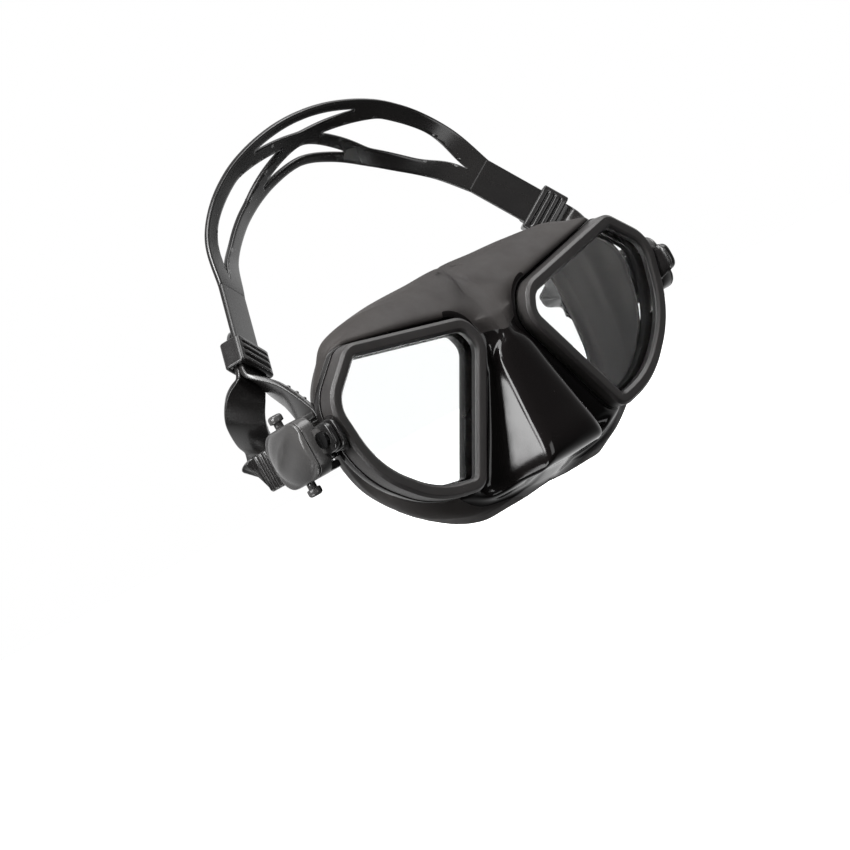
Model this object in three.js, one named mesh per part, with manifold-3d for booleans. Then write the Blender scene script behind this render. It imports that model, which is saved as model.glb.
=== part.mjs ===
// A low-volume two-lens diving mask: silicone skirt with a nose pocket, glass lenses clamped by
// bezels on a carrier frame, and a split head strap held by two swivelling quick-release buckles.
// Millimetres. +X is the wearer's left, +Y points back towards the head, +Z is up.
// Shapes are worked out in a design frame whose origin is midway between the lenses, on the lens
// plane. The finished group is moved so that the part's origin is the centre of the face seal.
import * as THREE from 'three';
import { mergeVertices } from 'three/addons/utils/BufferGeometryUtils.js';
import Module from 'manifold-3d';

const wasm = await Module();
wasm.setup();

// ---- driving dimensions: lenses and frame ----
const lensCentreX = 41; // lens centre from the mid plane
const lensPitch = THREE.MathUtils.degToRad(-8); // top edge leans forward
const lensYaw = THREE.MathUtils.degToRad(1.7); // outer edge sweeps back
const lensOuter = 38.5; // reach of the frame outline from the lens centre, outwards
const lensInner = 31; // towards the nose
const lensTop = 20.5; // up
const lensBottom = 42.5; // down
const glassThickness = 3.2;
const bezelWidth = 4.7; // frame outline to the edge of the clear opening
const bezelWall = 2.1; // thickness of the bezel's side wall
const bezelFront = 3.4; // height of the bezel in front of the glass
const carrierThickness = 2.9;
const carrierLedge = 5.2; // width of the carrier ring
const carrierProud = 0.3; // how far the carrier shows beyond the bezel
const bridgeHeight = 9;
const seatGap = 0.3; // clearance between seated pieces

// ---- driving dimensions: skirt ----
const skirtWall = 1.8;
const beadWall = 0.7; // silicone round the frame
const lipEdge = 0.9; // free edge of the sealing lip
const sealLip = 8.5; // width of the turned-in sealing lip
const sealRoll = 2.4; // how far the seal rolls past the wall's rear edge
const noseTopHalf = 7; // half width of the nose panel at its top
const noseTipHalf = 12; // and at its tip
const noseTopZ = -6;
const noseTipZ = -40;
const tuckInset = 6.2; // inset of the wall where it passes inside the buckles
const skirtLipHeight = 5.2; // silicone bead that hugs the bezels near the nose

// ---- driving dimensions: buckles ----
const pivotX = 82; // face between the frame's lug and the buckle
const pivotY = 1;
const pivotZ = -3;
const lugRadius = 5.4;
const pinRadius = 1.6;
const pinHead = 2.8;
const runGap = 0.1; // radial clearance of everything that turns
const pinDepth = 3.4; // how far the pin reaches into the lug
const yokeThickness = 2.2;
const buckleLength = 22; // along the strap
const buckleHeight = 20;
const buckleFront = 5; // y of the buckle tray's front edge
const railFront = 5.7; // the strap rails start this far behind the tray's front edge
const rollerBack = 8.1; // the roller's axis, behind the tray's front edge
const buckleCorner = 4;
const trayDepth = 5.4;
const trayWall = 1.6;
const coverRise = 2.6;
const rollerRadius = 1.5;
const journalRadius = 0.9;
const journalLength = 1.6;
const buttonRadius = 2.5;
const buttonHeight = 2.6;
const stemRadius = 1.5;
const buttonTravel = 1.6;
const pawlLength = 9;
const pawlWidth = 5;
const pawlThickness = 1.4;
const springWire = 0.25;
const springRadius = 1.1;
const springTurns = 3;

// ---- driving dimensions: strap ----
const strapWidth = 13.4;
const strapThickness = 1.8;
const ribHeight = 0.8;
const ribPitch = 3;
const ribWidth = 1.2;
const sideGap = 0.4; // strap edge to the buckle's rails
const foldAngle = THREE.MathUtils.degToRad(46); // of the tail's fold, from the strap's run
const freeRun = 18; // ribbed run between the buckle and the fold
const foldRadius = 3.2;
const keeperLength = 10;
const keeperWall = 1.7;
const keeperTravel = 2;
const layerGap = 0.4; // between the two strap layers inside a keeper

// ---- origin: centre of the face seal in the design frame ----
const sealCentre = new THREE.Vector3(0, 22, -10);

// ---- strap route on the left side, in the design frame ----
const keeperCentre = new THREE.Vector3(73.5, 33, 32);
const keeperFacing = new THREE.Vector3(0.507, 0.864, 0); // the strap's outer side there
const splitPoint = new THREE.Vector3(61.3, 40.9, 55); // where the strap divides into two bands
const rearRoute = [
  new THREE.Vector3(52.5, 44.5, 70),
  new THREE.Vector3(37, 46.5, 83),
  new THREE.Vector3(19, 45.8, 91),
  new THREE.Vector3(0, 44.8, 94.1),
];
const rearHalfWidths = [6.7, 10, 12.5, 11.8, 10.4]; // from the split to the mid plane

// ---- materials ----
const finish = (name, color, roughness, metalness = 0) =>
  new THREE.MeshStandardMaterial({ name, color, roughness, metalness });
const siliconeMatte = () => finish('silicone', 0x3d3a38, 0.7);
const frameBlack = () => finish('frame_black', 0x141315, 0.3);
const bezelCharcoal = () => finish('bezel_charcoal', 0x3a3839, 0.5);
const strapGloss = () => finish('strap_silicone', 0x1c1b1c, 0.25);
const buckleSatin = () => finish('buckle_satin', 0x4a4a4b, 0.4);
const steel = () => finish('spring_steel', 0xb8babd, 0.25, 1);
const glass = () => {
  const m = finish('glass', 0xdfe6e6, 0.02);
  m.transparent = true;
  m.opacity = 0.3;
  return m;
};

// ---- small tools ----
const V = (x, y, z) => new THREE.Vector3(x, y, z);
const mix = (a, b, t) => a.clone().lerp(b, t);

// A welded geometry from points and triangles, turned so that a closed one faces outwards.
function geometryOf(points, triangles) {
  const volume = triangles.reduce((sum, [a, b, c]) =>
    sum + points[a].dot(points[b].clone().cross(points[c])), 0);
  const facing = volume < 0 ? triangles.map(([a, b, c]) => [a, c, b]) : triangles;
  return sheetOf(points, facing);
}

// A welded geometry from points and triangles as they are.
function sheetOf(points, triangles) {
  const g = new THREE.BufferGeometry();
  const flat = points.flatMap((p) => [p.x, p.y, p.z]);
  g.setAttribute('position', new THREE.Float32BufferAttribute(flat, 3));
  g.setIndex(triangles.flat());
  return mergeVertices(g, 1e-4);
}

// The same geometry on the other side of the mid plane, still facing outwards.
function mirrored(geometry) {
  const g = welded(geometry);
  g.scale(-1, 1, 1);
  const index = g.getIndex();
  for (let i = 0; i < index.count; i += 3) {
    const second = index.getX(i + 1);
    index.setX(i + 1, index.getX(i + 2));
    index.setX(i + 2, second);
  }
  return g;
}

// Welds any three.js geometry down to positions only.
function welded(geometry) {
  const g = geometry.clone();
  g.deleteAttribute('normal');
  g.deleteAttribute('uv');
  return mergeVertices(g, 1e-4);
}

function toSolid(geometry) {
  const g = welded(geometry);
  const mesh = new wasm.Mesh({
    numProp: 3,
    vertProperties: new Float32Array(g.getAttribute('position').array),
    triVerts: new Uint32Array(g.getIndex().array),
  });
  return new wasm.Manifold(mesh);
}

function fromSolid(solid) {
  const mesh = solid.getMesh();
  const g = new THREE.BufferGeometry();
  g.setAttribute('position', new THREE.Float32BufferAttribute(mesh.vertProperties, 3));
  g.setIndex([...mesh.triVerts]);
  return g;
}

const join = (...geometries) =>
  fromSolid(geometries.map(toSolid).reduce((whole, piece) => whole.add(piece)));
const cut = (body, ...tools) =>
  fromSolid(tools.map(toSolid).reduce((whole, tool) => whole.subtract(tool), toSolid(body)));

// A grid of points, rows[i][j], closed round i, skinned into quads. A closed j makes a torus.
function skinGrid(rows, closeAcross) {
  const across = rows[0].length;
  const triangles = [];
  const last = closeAcross ? across : across - 1;
  rows.forEach((row, i) => {
    const next = ((i + 1) % rows.length) * across;
    for (let j = 0; j < last; j += 1) {
      const k = (j + 1) % across;
      triangles.push([i * across + j, next + j, next + k]);
      triangles.push([i * across + j, next + k, i * across + k]);
    }
  });
  return { points: rows.flat(), triangles };
}

const box = (x0, x1, y0, y1, z0, z1) => {
  const g = new THREE.BoxGeometry(x1 - x0, y1 - y0, z1 - z0);
  return g.translate((x0 + x1) / 2, (y0 + y1) / 2, (z0 + z1) / 2);
};

const rodX = (r, x0, x1, y, z, sides = 20) => {
  const g = new THREE.CylinderGeometry(r, r, x1 - x0, sides);
  return g.rotateZ(Math.PI / 2).translate((x0 + x1) / 2, y, z);
};

const rodZ = (r, z0, z1, x, y, sides = 16) => {
  const g = new THREE.CylinderGeometry(r, r, z1 - z0, sides);
  return g.rotateX(Math.PI / 2).translate(x, y, (z0 + z1) / 2);
};

// A flat outline drawn in y and z, extruded along x with an optional rounded edge.
function plateX(shape, x0, x1, bevel = 0) {
  const g = new THREE.ExtrudeGeometry(shape, {
    depth: x1 - x0 - 2 * bevel,
    bevelEnabled: bevel > 0,
    bevelThickness: bevel,
    bevelSize: bevel,
    bevelOffset: -bevel,
    bevelSegments: 2,
    curveSegments: 5,
  });
  // shape x becomes y, shape y becomes z, depth becomes x
  const turn = new THREE.Matrix4().makeBasis(V(0, 1, 0), V(0, 0, 1), V(1, 0, 0));
  return g.applyMatrix4(turn).translate(x0 + bevel, 0, 0);
}

function roundedRectangle(y0, y1, z0, z1, r) {
  const s = new THREE.Shape();
  s.moveTo(y0 + r, z0);
  s.lineTo(y1 - r, z0);
  s.absarc(y1 - r, z0 + r, r, -Math.PI / 2, 0);
  s.lineTo(y1, z1 - r);
  s.absarc(y1 - r, z1 - r, r, 0, Math.PI / 2);
  s.lineTo(y0 + r, z1);
  s.absarc(y0 + r, z1 - r, r, Math.PI / 2, Math.PI);
  s.lineTo(y0, z0 + r);
  s.absarc(y0 + r, z0 + r, r, Math.PI, 1.5 * Math.PI);
  return s;
}

// ---- lens outline ----
// Corners of the frame outline on the lens plane, anticlockwise from the inner top corner:
// u outwards, v up, and the corner's radius.
const outlineCorners = [
  { u: -26, v: lensTop - 9, r: 9 }, // top, towards the nose
  { u: -lensInner, v: 1, r: 10 }, // bridge
  { u: -6, v: -lensBottom, r: 6.5 }, // bottom, beside the nose
  { u: 13.5, v: 3.4 - lensBottom, r: 38 },
  { u: lensOuter - 4.8, v: -21, r: 38 },
  { u: lensOuter + 0.6, v: 6.5, r: 14 }, // outer
  { u: 22.8, v: lensTop + 0.4, r: 7 }, // top, outer
];
const arcSteps = 3;
const edgeSteps = [1, 4, 1, 1, 1, 1, 4];

const planeU = V(Math.cos(lensYaw), Math.sin(lensYaw), 0);
const planeN = V(
  Math.sin(lensYaw) * Math.cos(lensPitch),
  -Math.cos(lensYaw) * Math.cos(lensPitch),
  Math.sin(lensPitch),
);
const planeV = new THREE.Vector3().crossVectors(planeN, planeU);
const onPlane = (u, v, w) =>
  V(lensCentreX, 0, 0).addScaledVector(planeU, u).addScaledVector(planeV, v)
    .addScaledVector(planeN, w);

// Outline points at an inset from the frame outline. `at` counts corners: a corner's arc runs
// from k to k + 0.5 and the straight after it from k + 0.5 to k + 1.
function lensOutline(inset) {
  const count = outlineCorners.length;
  const arcs = outlineCorners.map((corner, k) => {
    const before = outlineCorners[(k + count - 1) % count];
    const after = outlineCorners[(k + 1) % count];
    const inward = (a, b) => new THREE.Vector2(a.v - b.v, b.u - a.u).normalize();
    const n0 = inward(before, corner);
    const n1 = inward(corner, after);
    const radius = Math.max(corner.r - inset, 0.5);
    const reach = (inset + radius) / (1 + n0.dot(n1));
    const centre = new THREE.Vector2(corner.u, corner.v);
    centre.addScaledVector(n0, reach).addScaledVector(n1, reach);
    const start = Math.atan2(-n0.y, -n0.x);
    const turn = Math.acos(THREE.MathUtils.clamp(n0.dot(n1), -1, 1));
    return Array.from({ length: arcSteps + 1 }, (_, j) => {
      const angle = start + (turn * j) / arcSteps;
      return {
        u: centre.x + radius * Math.cos(angle),
        v: centre.y + radius * Math.sin(angle),
        at: k + (0.5 * j) / arcSteps,
      };
    });
  });
  return arcs.flatMap((arc, k) => {
    const from = arc[arcSteps];
    const to = arcs[(k + 1) % count][0];
    const steps = edgeSteps[k];
    const straight = Array.from({ length: steps }, (_, j) => {
      const t = (j + 1) / (steps + 1);
      return {
        u: from.u + (to.u - from.u) * t,
        v: from.v + (to.v - from.v) * t,
        at: k + 0.5 + 0.5 * t,
      };
    });
    return [...arc, ...straight];
  });
}

// A ring round the lens from a section given as [inset, height in front of the lens plane].
function lensRing(section) {
  const loops = section.map(([inset, w]) => lensOutline(inset).map((p) => onPlane(p.u, p.v, w)));
  const rows = loops[0].map((_, i) => loops.map((loop) => loop[i]));
  const { points, triangles } = skinGrid(rows, true);
  return geometryOf(points, triangles);
}

// ---- lenses, bezels and carrier frame ----
function lensGlass() {
  const edge = 0.4;
  const inset = bezelWall + seatGap;
  const levels = [
    [inset + edge, 0],
    [inset, -edge],
    [inset, edge - glassThickness],
    [inset + edge, -glassThickness],
  ];
  const loops = levels.map(([d, w]) => lensOutline(d).map((p) => onPlane(p.u, p.v, w)));
  const { points, triangles } = skinGrid(loops[0].map((_, i) => loops.map((l) => l[i])), false);
  const face = lensOutline(levels[0][0]).map((p) => new THREE.Vector2(p.u, p.v));
  const caps = THREE.ShapeUtils.triangulateShape(face, []);
  const columns = levels.length;
  caps.forEach(([a, b, c]) => {
    triangles.push([c * columns, b * columns, a * columns]);
    triangles.push([a * columns + 3, b * columns + 3, c * columns + 3]);
  });
  return geometryOf(points, triangles);
}

const bezelRing = () => lensRing([
  [0, -glassThickness],
  [bezelWall, -glassThickness],
  [bezelWall, seatGap],
  [bezelWidth, seatGap],
  [bezelWidth, bezelFront - 1.8],
  [2.5, bezelFront],
  [0.8, bezelFront - 0.5],
  [0, bezelFront - 1.8],
]);

const carrierFront = -glassThickness - seatGap;
const carrierBack = carrierFront - carrierThickness;
const carrierRing = () => lensRing([
  [-carrierProud, carrierBack],
  [carrierLedge, carrierBack],
  [carrierLedge, carrierFront],
  [-carrierProud, carrierFront],
]);

// The lug stands out from the carrier ring and carries the buckle's pivot pin.
function lug(margin = 0) {
  const root = onPlane(lensOuter - 1.5, pivotZ, carrierBack + 0.2);
  const shape = new THREE.Shape();
  const radius = lugRadius + margin;
  shape.absarc(pivotY, pivotZ, radius, 0, 2 * Math.PI);
  const boss = plateX(shape, root.x, pivotX + margin, 0.6);
  const arm = box(root.x - 2 - margin, pivotX - 1.2, root.y - carrierThickness - margin,
    pivotY + radius - 0.6, pivotZ - radius + 0.8, pivotZ + radius - 0.8);
  return join(boss, arm);
}

const bridgeY = onPlane(-lensInner, 0, (carrierFront + carrierBack) / 2).y;
function bridgeBar(margin) {
  const half = onPlane(-lensInner, 0, 0).x + 4;
  const depth = carrierThickness / 2 - 0.3;
  return box(-half, half, bridgeY - depth - margin, bridgeY + depth + margin,
    -2 - margin, bridgeHeight - 2 + margin);
}

function carrierFrame() {
  const left = join(carrierRing(), lug());
  const whole = join(left, mirrored(left), bridgeBar(0));
  const bore = rodX(pinRadius + runGap, pivotX - pinDepth, pivotX + 1, pivotY, pivotZ);
  const bezelRoom = lensRing([
    [-seatGap, carrierFront],
    [bezelWidth, carrierFront],
    [bezelWidth, bezelFront + seatGap],
    [-seatGap, bezelFront + seatGap],
  ]);
  return cut(whole, bore, mirrored(bore), bezelRoom, mirrored(bezelRoom));
}

// ---- skirt ----
// Stations round the lens outline. Each gives where the wall ends (on the mid plane beside the
// nose, or at the seal's rear edge elsewhere), how high the bead hugs the bezel there (0 to 1),
// and three points between: a share of the way to the end, plus an offset.
const nosePanelHalf = (z) => THREE.MathUtils.mapLinear(z, noseTopZ, noseTipZ, noseTopHalf,
  noseTipHalf);
// Points of the nose wall at a station: valley beside the bezel, then both sides of the edge
// between the side wall and the nose panel.
const noseWall = (valleyShare, valleyDepth) => (bead, end) => {
  const half = nosePanelHalf(end.z);
  const valley = mix(bead, V(half, bead.y, end.z), valleyShare);
  return [
    valley.setY(bead.y + valleyDepth),
    V(half + 1.8, end.y + 4, end.z - 0.8),
    V(half - 2.6, end.y + 0.5, end.z - 0.2),
  ];
};
const wall = (...offsets) => (bead, end) =>
  offsets.map(([share, x, y, z]) => mix(bead, end, share).add(V(x, y, z)));

const stations = [
  { at: 0, end: V(0, 12, 29.5), bead: 1,
    via: wall([0.2, 0, 0, 1], [0.5, 0, -1, 1], [0.8, 0, -1, 0.5]) },
  { at: 0.25, end: V(0, 4.5, 19), bead: 1,
    via: wall([0.2, 0, -0.5, 0.5], [0.5, 0, -0.6, 0], [0.8, 0, 0, 0]) },
  { at: 0.5, end: V(0, -0.5, 10.5), bead: 1,
    via: wall([0.2, 0, -0.6, 0], [0.5, 0, -0.6, 0], [0.8, 0, 0, 0]) },
  { at: 1, end: V(0, -3, 4), bead: 1,
    via: wall([0.2, 0, -0.6, 0], [0.5, 0, -0.6, 0], [0.8, 0, -0.2, 0]) },
  { at: 1.25, end: V(0, -4, -1), bead: 1,
    via: wall([0.2, 0, 0, 0], [0.5, 0, -0.4, 0], [0.75, 0, -0.2, 0]) },
  { at: 1.5, end: V(0, -4.6, noseTopZ), bead: 1,
    via: noseWall(0.2, -1) },
  { at: 1.68, end: V(0, -5.6, -17), bead: 1,
    via: noseWall(0.25, 1.5) },
  { at: 1.85, end: V(0, -7, -30), bead: 0.9,
    via: noseWall(0.3, 3) },
  { at: 2, end: V(0, -8, noseTipZ), bead: 0.8,
    via: noseWall(0.3, 4.5) },
  { at: 2.17, end: V(0, -5.5, -45.5), bead: 0.7,
    via: noseWall(0.3, 4.5) },
  { at: 2.33, end: V(0, 3, -47.5), bead: 0.6,
    via: wall([0.25, 0, 3, -2.5], [0.55, 0, -1, -1.5], [0.8, 0, -1, 0]) },
  { at: 2.5, end: V(0, 14, -50.5), bead: 0.5,
    via: wall([0.25, 0, 1.5, -3], [0.55, 0, 0, -1.5], [0.8, 0, -1, 0]) },
  { at: 2.75, end: V(19, 16, -51.5), bead: 0.4,
    via: wall([0.25, 0, 1, -3], [0.55, 0, 0, -2], [0.85, 0, -1, -0.3]) },
  { at: 3.25, end: V(35, 20, -50), bead: 0.2,
    via: wall([0.25, 1, 1, -1], [0.55, 1, 0, -1], [0.85, 0, -0.6, -0.3]) },
  { at: 3.75, end: V(50, 24.5, -40), bead: 0,
    via: wall([0.25, 1, 1, -1], [0.55, 1.5, 0, -1], [0.85, 0.6, 0, -0.5]) },
  { at: 4.25, tuck: 0.7, end: V(61.5, 28, -24), bead: 0,
    via: wall([0.25, 0, 1, 0], [0.55, 1.5, 0, -1], [0.85, 0.6, 0, -0.3]) },
  { at: 4.75, tuck: 1, end: V(65, 28.5, -6), bead: 0,
    via: wall([0.25, -0.5, 0, 0], [0.55, 1, 0, 0], [0.85, 0.6, 0, 0]) },
  { at: 5.25, tuck: 1, end: V(64, 27, 9), bead: 0,
    via: wall([0.25, -0.5, 0, 0], [0.55, 1, 0, 1], [0.85, 0.6, 0, 0.4]) },
  { at: 5.75, tuck: 0.5, end: V(58, 23, 19.5), bead: 0.1,
    via: wall([0.25, 0, 0, 0], [0.55, 1, 0, 1.5], [0.85, 0.4, 0, 0.5]) },
  { at: 6.25, end: V(49.5, 18.5, 26), bead: 0.3,
    via: wall([0.25, 0, 0, 0.5], [0.55, 0.5, 0, 2], [0.85, 0.2, 0, 0.8]) },
  { at: 6.6, end: V(35, 14.5, 29.2), bead: 0.8,
    via: wall([0.25, 0, -0.5, 1], [0.55, 0, -1, 2], [0.85, 0, -0.5, 0.8]) },
  { at: 6.85, end: V(17, 12.5, 29.5), bead: 1,
    via: wall([0.22, 0, -0.5, 1], [0.52, 0, -1, 1.5], [0.82, 0, -1, 0.7]) },
];
const topMid = 0; // station where the mid plane's stretch begins
const bottomMid = 2.5; // and where it ends
const flatMid = 0.7; // how squarely the wall meets the mid plane

// Catmull-Rom value between stations, going round the lens.
function between(at, pick) {
  const total = outlineCorners.length;
  const count = stations.length;
  const last = stations.findLastIndex((s) => s.at <= at + 1e-6);
  const knot = (k) => stations[(k + count) % count].at + total * Math.floor(k / count);
  const span = knot(last + 1) - knot(last);
  const t = (at - knot(last)) / span;
  const [a, b, c, d] = [-1, 0, 1, 2].map((k) => pick((last + k + count) % count));
  const slope = (p, q, r, left, right) => {
    const back = q.clone().sub(p).divideScalar(left);
    const ahead = r.clone().sub(q).divideScalar(right);
    return back.multiplyScalar(right).add(ahead.multiplyScalar(left)).divideScalar(left + right);
  };
  const before = span === 0 ? 1 : knot(last) - knot(last - 1);
  const after = knot(last + 2) - knot(last + 1);
  const m0 = slope(a, b, c, before, span).multiplyScalar(span);
  const m1 = slope(b, c, d, span, after).multiplyScalar(span);
  const t2 = t * t;
  const t3 = t2 * t;
  return b.clone().multiplyScalar(2 * t3 - 3 * t2 + 1)
    .addScaledVector(m0, t3 - 2 * t2 + t)
    .addScaledVector(c, 3 * t2 - 2 * t3)
    .addScaledVector(m1, t3 - t2);
}

// Clamped quadratic B-spline through a control polygon, sampled at `steps` + 1 places.
function softPolyline(control, steps) {
  const spans = control.length - 2;
  const joint = (k) => (k === 0 ? control[0]
    : k === spans ? control[control.length - 1] : mix(control[k], control[k + 1], 0.5));
  return Array.from({ length: steps + 1 }, (_, i) => {
    const s = (i / steps) * spans;
    const k = Math.min(Math.floor(s), spans - 1);
    const t = s - k;
    const start = mix(joint(k), control[k + 1], t);
    return start.lerp(mix(control[k + 1], joint(k + 1), t), t);
  });
}

// The part of the sheet that follows the frame: flange behind the carrier, then the bead.
const flangeFront = carrierBack - seatGap;
const beadSection = [
  { low: [bezelWidth, 0], high: [bezelWidth, 0] },
  { low: [2.4, 0], high: [-0.6, 0] },
  { low: [1.2, -0.3], high: [-0.9, skirtLipHeight * 0.8] },
  { low: [0.4, -0.9], high: [-1.3, skirtLipHeight] },
  { low: [0, -2], high: [-3.2, skirtLipHeight] },
];

const tuckSpread = 0.08; // keeps the tucked bead's points apart
const tuckOf = (station) => station.tuck ?? 0;

function skirtSheet() {
  const outline = lensOutline(0);
  const atStation = (station) => {
    const away = outline.map((p) => Math.abs(p.at - station.at));
    const nearest = away.indexOf(Math.min(...away));
    return beadPoints(nearest, station.bead, tuckOf(station));
  };
  const beadPoints = (i, lift, tuck) => beadSection.map(({ low, high }) => {
    const raised = low[0] + (high[0] - low[0]) * lift;
    const inset = raised + (tuckInset + low[0] * tuckSpread - raised) * tuck;
    const w = low[1] + (high[1] - low[1]) * lift;
    const p = lensOutline(inset)[i];
    return onPlane(p.u, p.v, flangeFront + w);
  });
  const vias = stations.map((s) => s.via(atStation(s).at(-1), s.end));
  const lifts = stations.map((s) => V(s.bead, tuckOf(s), 0));
  return outline.map((p, i) => {
    const hold = between(p.at, (k) => lifts[k]);
    const lift = THREE.MathUtils.clamp(hold.x, 0, 1);
    const tuck = THREE.MathUtils.clamp(hold.y, 0, 1);
    const along = [0, 1, 2].map((j) => between(p.at, (k) => vias[k][j]));
    const end = between(p.at, (k) => stations[k].end);
    const onMid = p.at >= topMid && p.at <= bottomMid;
    if (onMid) {
      end.x = 0;
      along[2].y = THREE.MathUtils.lerp(along[2].y, end.y, flatMid);
      along[2].z = THREE.MathUtils.lerp(along[2].z, end.z, flatMid);
    }
    return { control: [...beadPoints(i, lift, tuck), ...along, end], at: p.at };
  });
}

function skirtSolid() {
  const columns = skirtSheet();
  const wallSteps = 10;
  const lipSteps = 4;
  const points = [];
  const thicknesses = [];
  const triangles = [];
  const rows = columns.map((c) => softPolyline(c.control, wallSteps));
  const count = rows.length;
  const put = (p, thickness) => {
    thicknesses.push(thickness);
    return points.push(p) - 1;
  };
  const wallAt = (j) => THREE.MathUtils.lerp(beadWall, skirtWall,
    THREE.MathUtils.smoothstep(j / wallSteps, 0.5, 0.8));
  const ids = rows.map((row) => row.map((p, j) => put(p, wallAt(j))));
  rows.forEach((row, i) => {
    const n = (i + 1) % count;
    for (let j = 0; j < wallSteps; j += 1) {
      triangles.push([ids[i][j], ids[n][j], ids[n][j + 1]]);
      triangles.push([ids[i][j], ids[n][j + 1], ids[i][j + 1]]);
    }
  });
  // the seal rolls over at the wall's rear edge and turns in towards the face
  const rear = columns.map((c, i) => i).filter((i) => columns[i].at >= bottomMid);
  rear.push(0);
  const edge = rear.map((i) => columns[i].control.at(-1));
  const lips = rear.map((i, k) => {
    const here = edge[k];
    const ahead = edge[Math.min(k + 1, edge.length - 1)];
    const behind = edge[Math.max(k - 1, 0)];
    const atMid = k === 0 || k === edge.length - 1;
    const tangent = atMid ? V(1, 0, 0) : ahead.clone().sub(behind).normalize();
    const square = (v) => v.addScaledVector(tangent, -v.dot(tangent)).normalize();
    const onward = square(here.clone().sub(columns[i].control.at(-2)));
    const inward = square(V(0, here.y + 2, sealCentre.z).sub(here).setY(3));
    const step = (along, across) =>
      here.clone().addScaledVector(onward, along * sealRoll).addScaledVector(inward, across);
    return softPolyline([here, step(0.6, 0), step(1, 1.2), step(0.9, sealLip * 0.5),
      step(0.2, sealLip)], lipSteps);
  });
  const lipIds = lips.map((row, k) => row.map((p, j) => (j === 0
    ? ids[rear[k]][wallSteps] : put(p, THREE.MathUtils.lerp(skirtWall, lipEdge, j / lipSteps)))));
  for (let k = 0; k + 1 < lipIds.length; k += 1) {
    for (let j = 0; j < lipSteps; j += 1) {
      triangles.push([lipIds[k][j], lipIds[k + 1][j], lipIds[k + 1][j + 1]]);
      triangles.push([lipIds[k][j], lipIds[k + 1][j + 1], lipIds[k][j + 1]]);
    }
  }
  return thickened(points, thicknesses, triangles);
}

// Mirrors a half sheet, welds it on the mid plane and gives each point its own wall thickness
// on the inner side.
function thickened(points, thicknesses, triangles) {
  const merged = [];
  const walls = [];
  const faces = [];
  const keyed = new Map();
  const put = (p, thickness) => {
    const key = p.toArray().map((v) => Math.round(v * 1e3) + 0).join();
    if (!keyed.has(key)) {
      keyed.set(key, merged.push(p) - 1);
      walls.push(thickness);
    }
    return keyed.get(key);
  };
  [1, -1].forEach((side) => {
    const ids = points.map((p, i) => put(V(side * p.x, p.y, p.z), thicknesses[i]));
    triangles.forEach(([a, b, c]) => {
      const face = side > 0 ? [ids[a], ids[b], ids[c]] : [ids[a], ids[c], ids[b]];
      if (new Set(face).size === 3) faces.push(face);
    });
  });
  const normals = merged.map(() => V(0, 0, 0));
  faces.forEach(([i, j, k]) => {
    const n = merged[j].clone().sub(merged[i]).cross(merged[k].clone().sub(merged[i]));
    [i, j, k].forEach((v) => normals[v].add(n));
  });
  const inner = merged.map((p, i) =>
    p.clone().addScaledVector(normals[i].normalize(), walls[i]));
  const offset = merged.length;
  const edges = new Map();
  faces.forEach(([i, j, k]) => [[i, j], [j, k], [k, i]].forEach(([p, q]) => {
    edges.set(`${p},${q}`, [p, q]);
  }));
  const rim = [...edges.values()].filter(([p, q]) => !edges.has(`${q},${p}`));
  const shell = [
    ...faces,
    ...faces.map(([i, j, k]) => [k + offset, j + offset, i + offset]),
    ...rim.flatMap(([p, q]) => [[q, p, p + offset], [q, p + offset, q + offset]]),
  ];
  return geometryOf([...merged, ...inner], shell);
}

// The silicone is moulded round the frame, so the frame's space is cut out of it.
function skirtRoundFrame() {
  const floor = flangeFront + seatGap / 3;
  const frameRoom = lensRing([
    [-carrierProud - seatGap, floor],
    [carrierLedge + seatGap, floor],
    [carrierLedge + seatGap, bezelFront + seatGap],
    [-carrierProud - seatGap, bezelFront + seatGap],
  ]);
  const lugRoom = lug(seatGap);
  return cut(skirtSolid(), frameRoom, mirrored(frameRoom), lugRoom, mirrored(lugRoom),
    bridgeBar(seatGap));
}

// ---- strap ribbon ----
// A ribbon is a list of sections: centre p, direction t, width direction w, half width h,
// and the thickness below and above the centre. n, the ribbed side, is t x w.
function ribbon(sections) {
  const loops = sections.map((s) => {
    const w = s.w.clone().addScaledVector(s.t, -s.w.dot(s.t)).normalize();
    const n = new THREE.Vector3().crossVectors(s.t, w);
    return [[-1, -1], [1, -1], [1, 1], [-1, 1]].map(([a, b]) =>
      s.p.clone().addScaledVector(w, a * s.h).addScaledVector(n, b > 0 ? s.up : -s.down));
  });
  const triangles = [];
  for (let i = 0; i + 1 < loops.length; i += 1) {
    for (let j = 0; j < 4; j += 1) {
      const k = (j + 1) % 4;
      triangles.push([4 * i + j, 4 * i + k, 4 * i + 4 + k]);
      triangles.push([4 * i + j, 4 * i + 4 + k, 4 * i + 4 + j]);
    }
  }
  const end = 4 * (loops.length - 1);
  triangles.push([0, 2, 1], [0, 3, 2], [end, end + 1, end + 2], [end, end + 2, end + 3]);
  return geometryOf(loops.flat(), triangles);
}

const trayFace = pivotX + seatGap; // inner face of the buckle tray
const wrapRadius = rollerRadius + seatGap; // inside of the strap on the roller
const rollerX = trayFace - 0.3 - ribHeight - strapThickness - wrapRadius;
const rollerY = buckleFront + rollerBack;
const outerRunX = rollerX + wrapRadius + strapThickness / 2;
const innerRunX = rollerX - wrapRadius - strapThickness / 2;
const runEnd = buckleFront + buckleLength + freeRun;

const strapDown = keeperCentre.clone().sub(splitPoint).normalize();
const strapOut = keeperFacing.clone()
  .addScaledVector(strapDown, -keeperFacing.dot(strapDown)).normalize();
const strapAcross = new THREE.Vector3().crossVectors(strapOut, strapDown).negate();
const layerShift = (strapThickness + layerGap) / 2;

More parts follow.
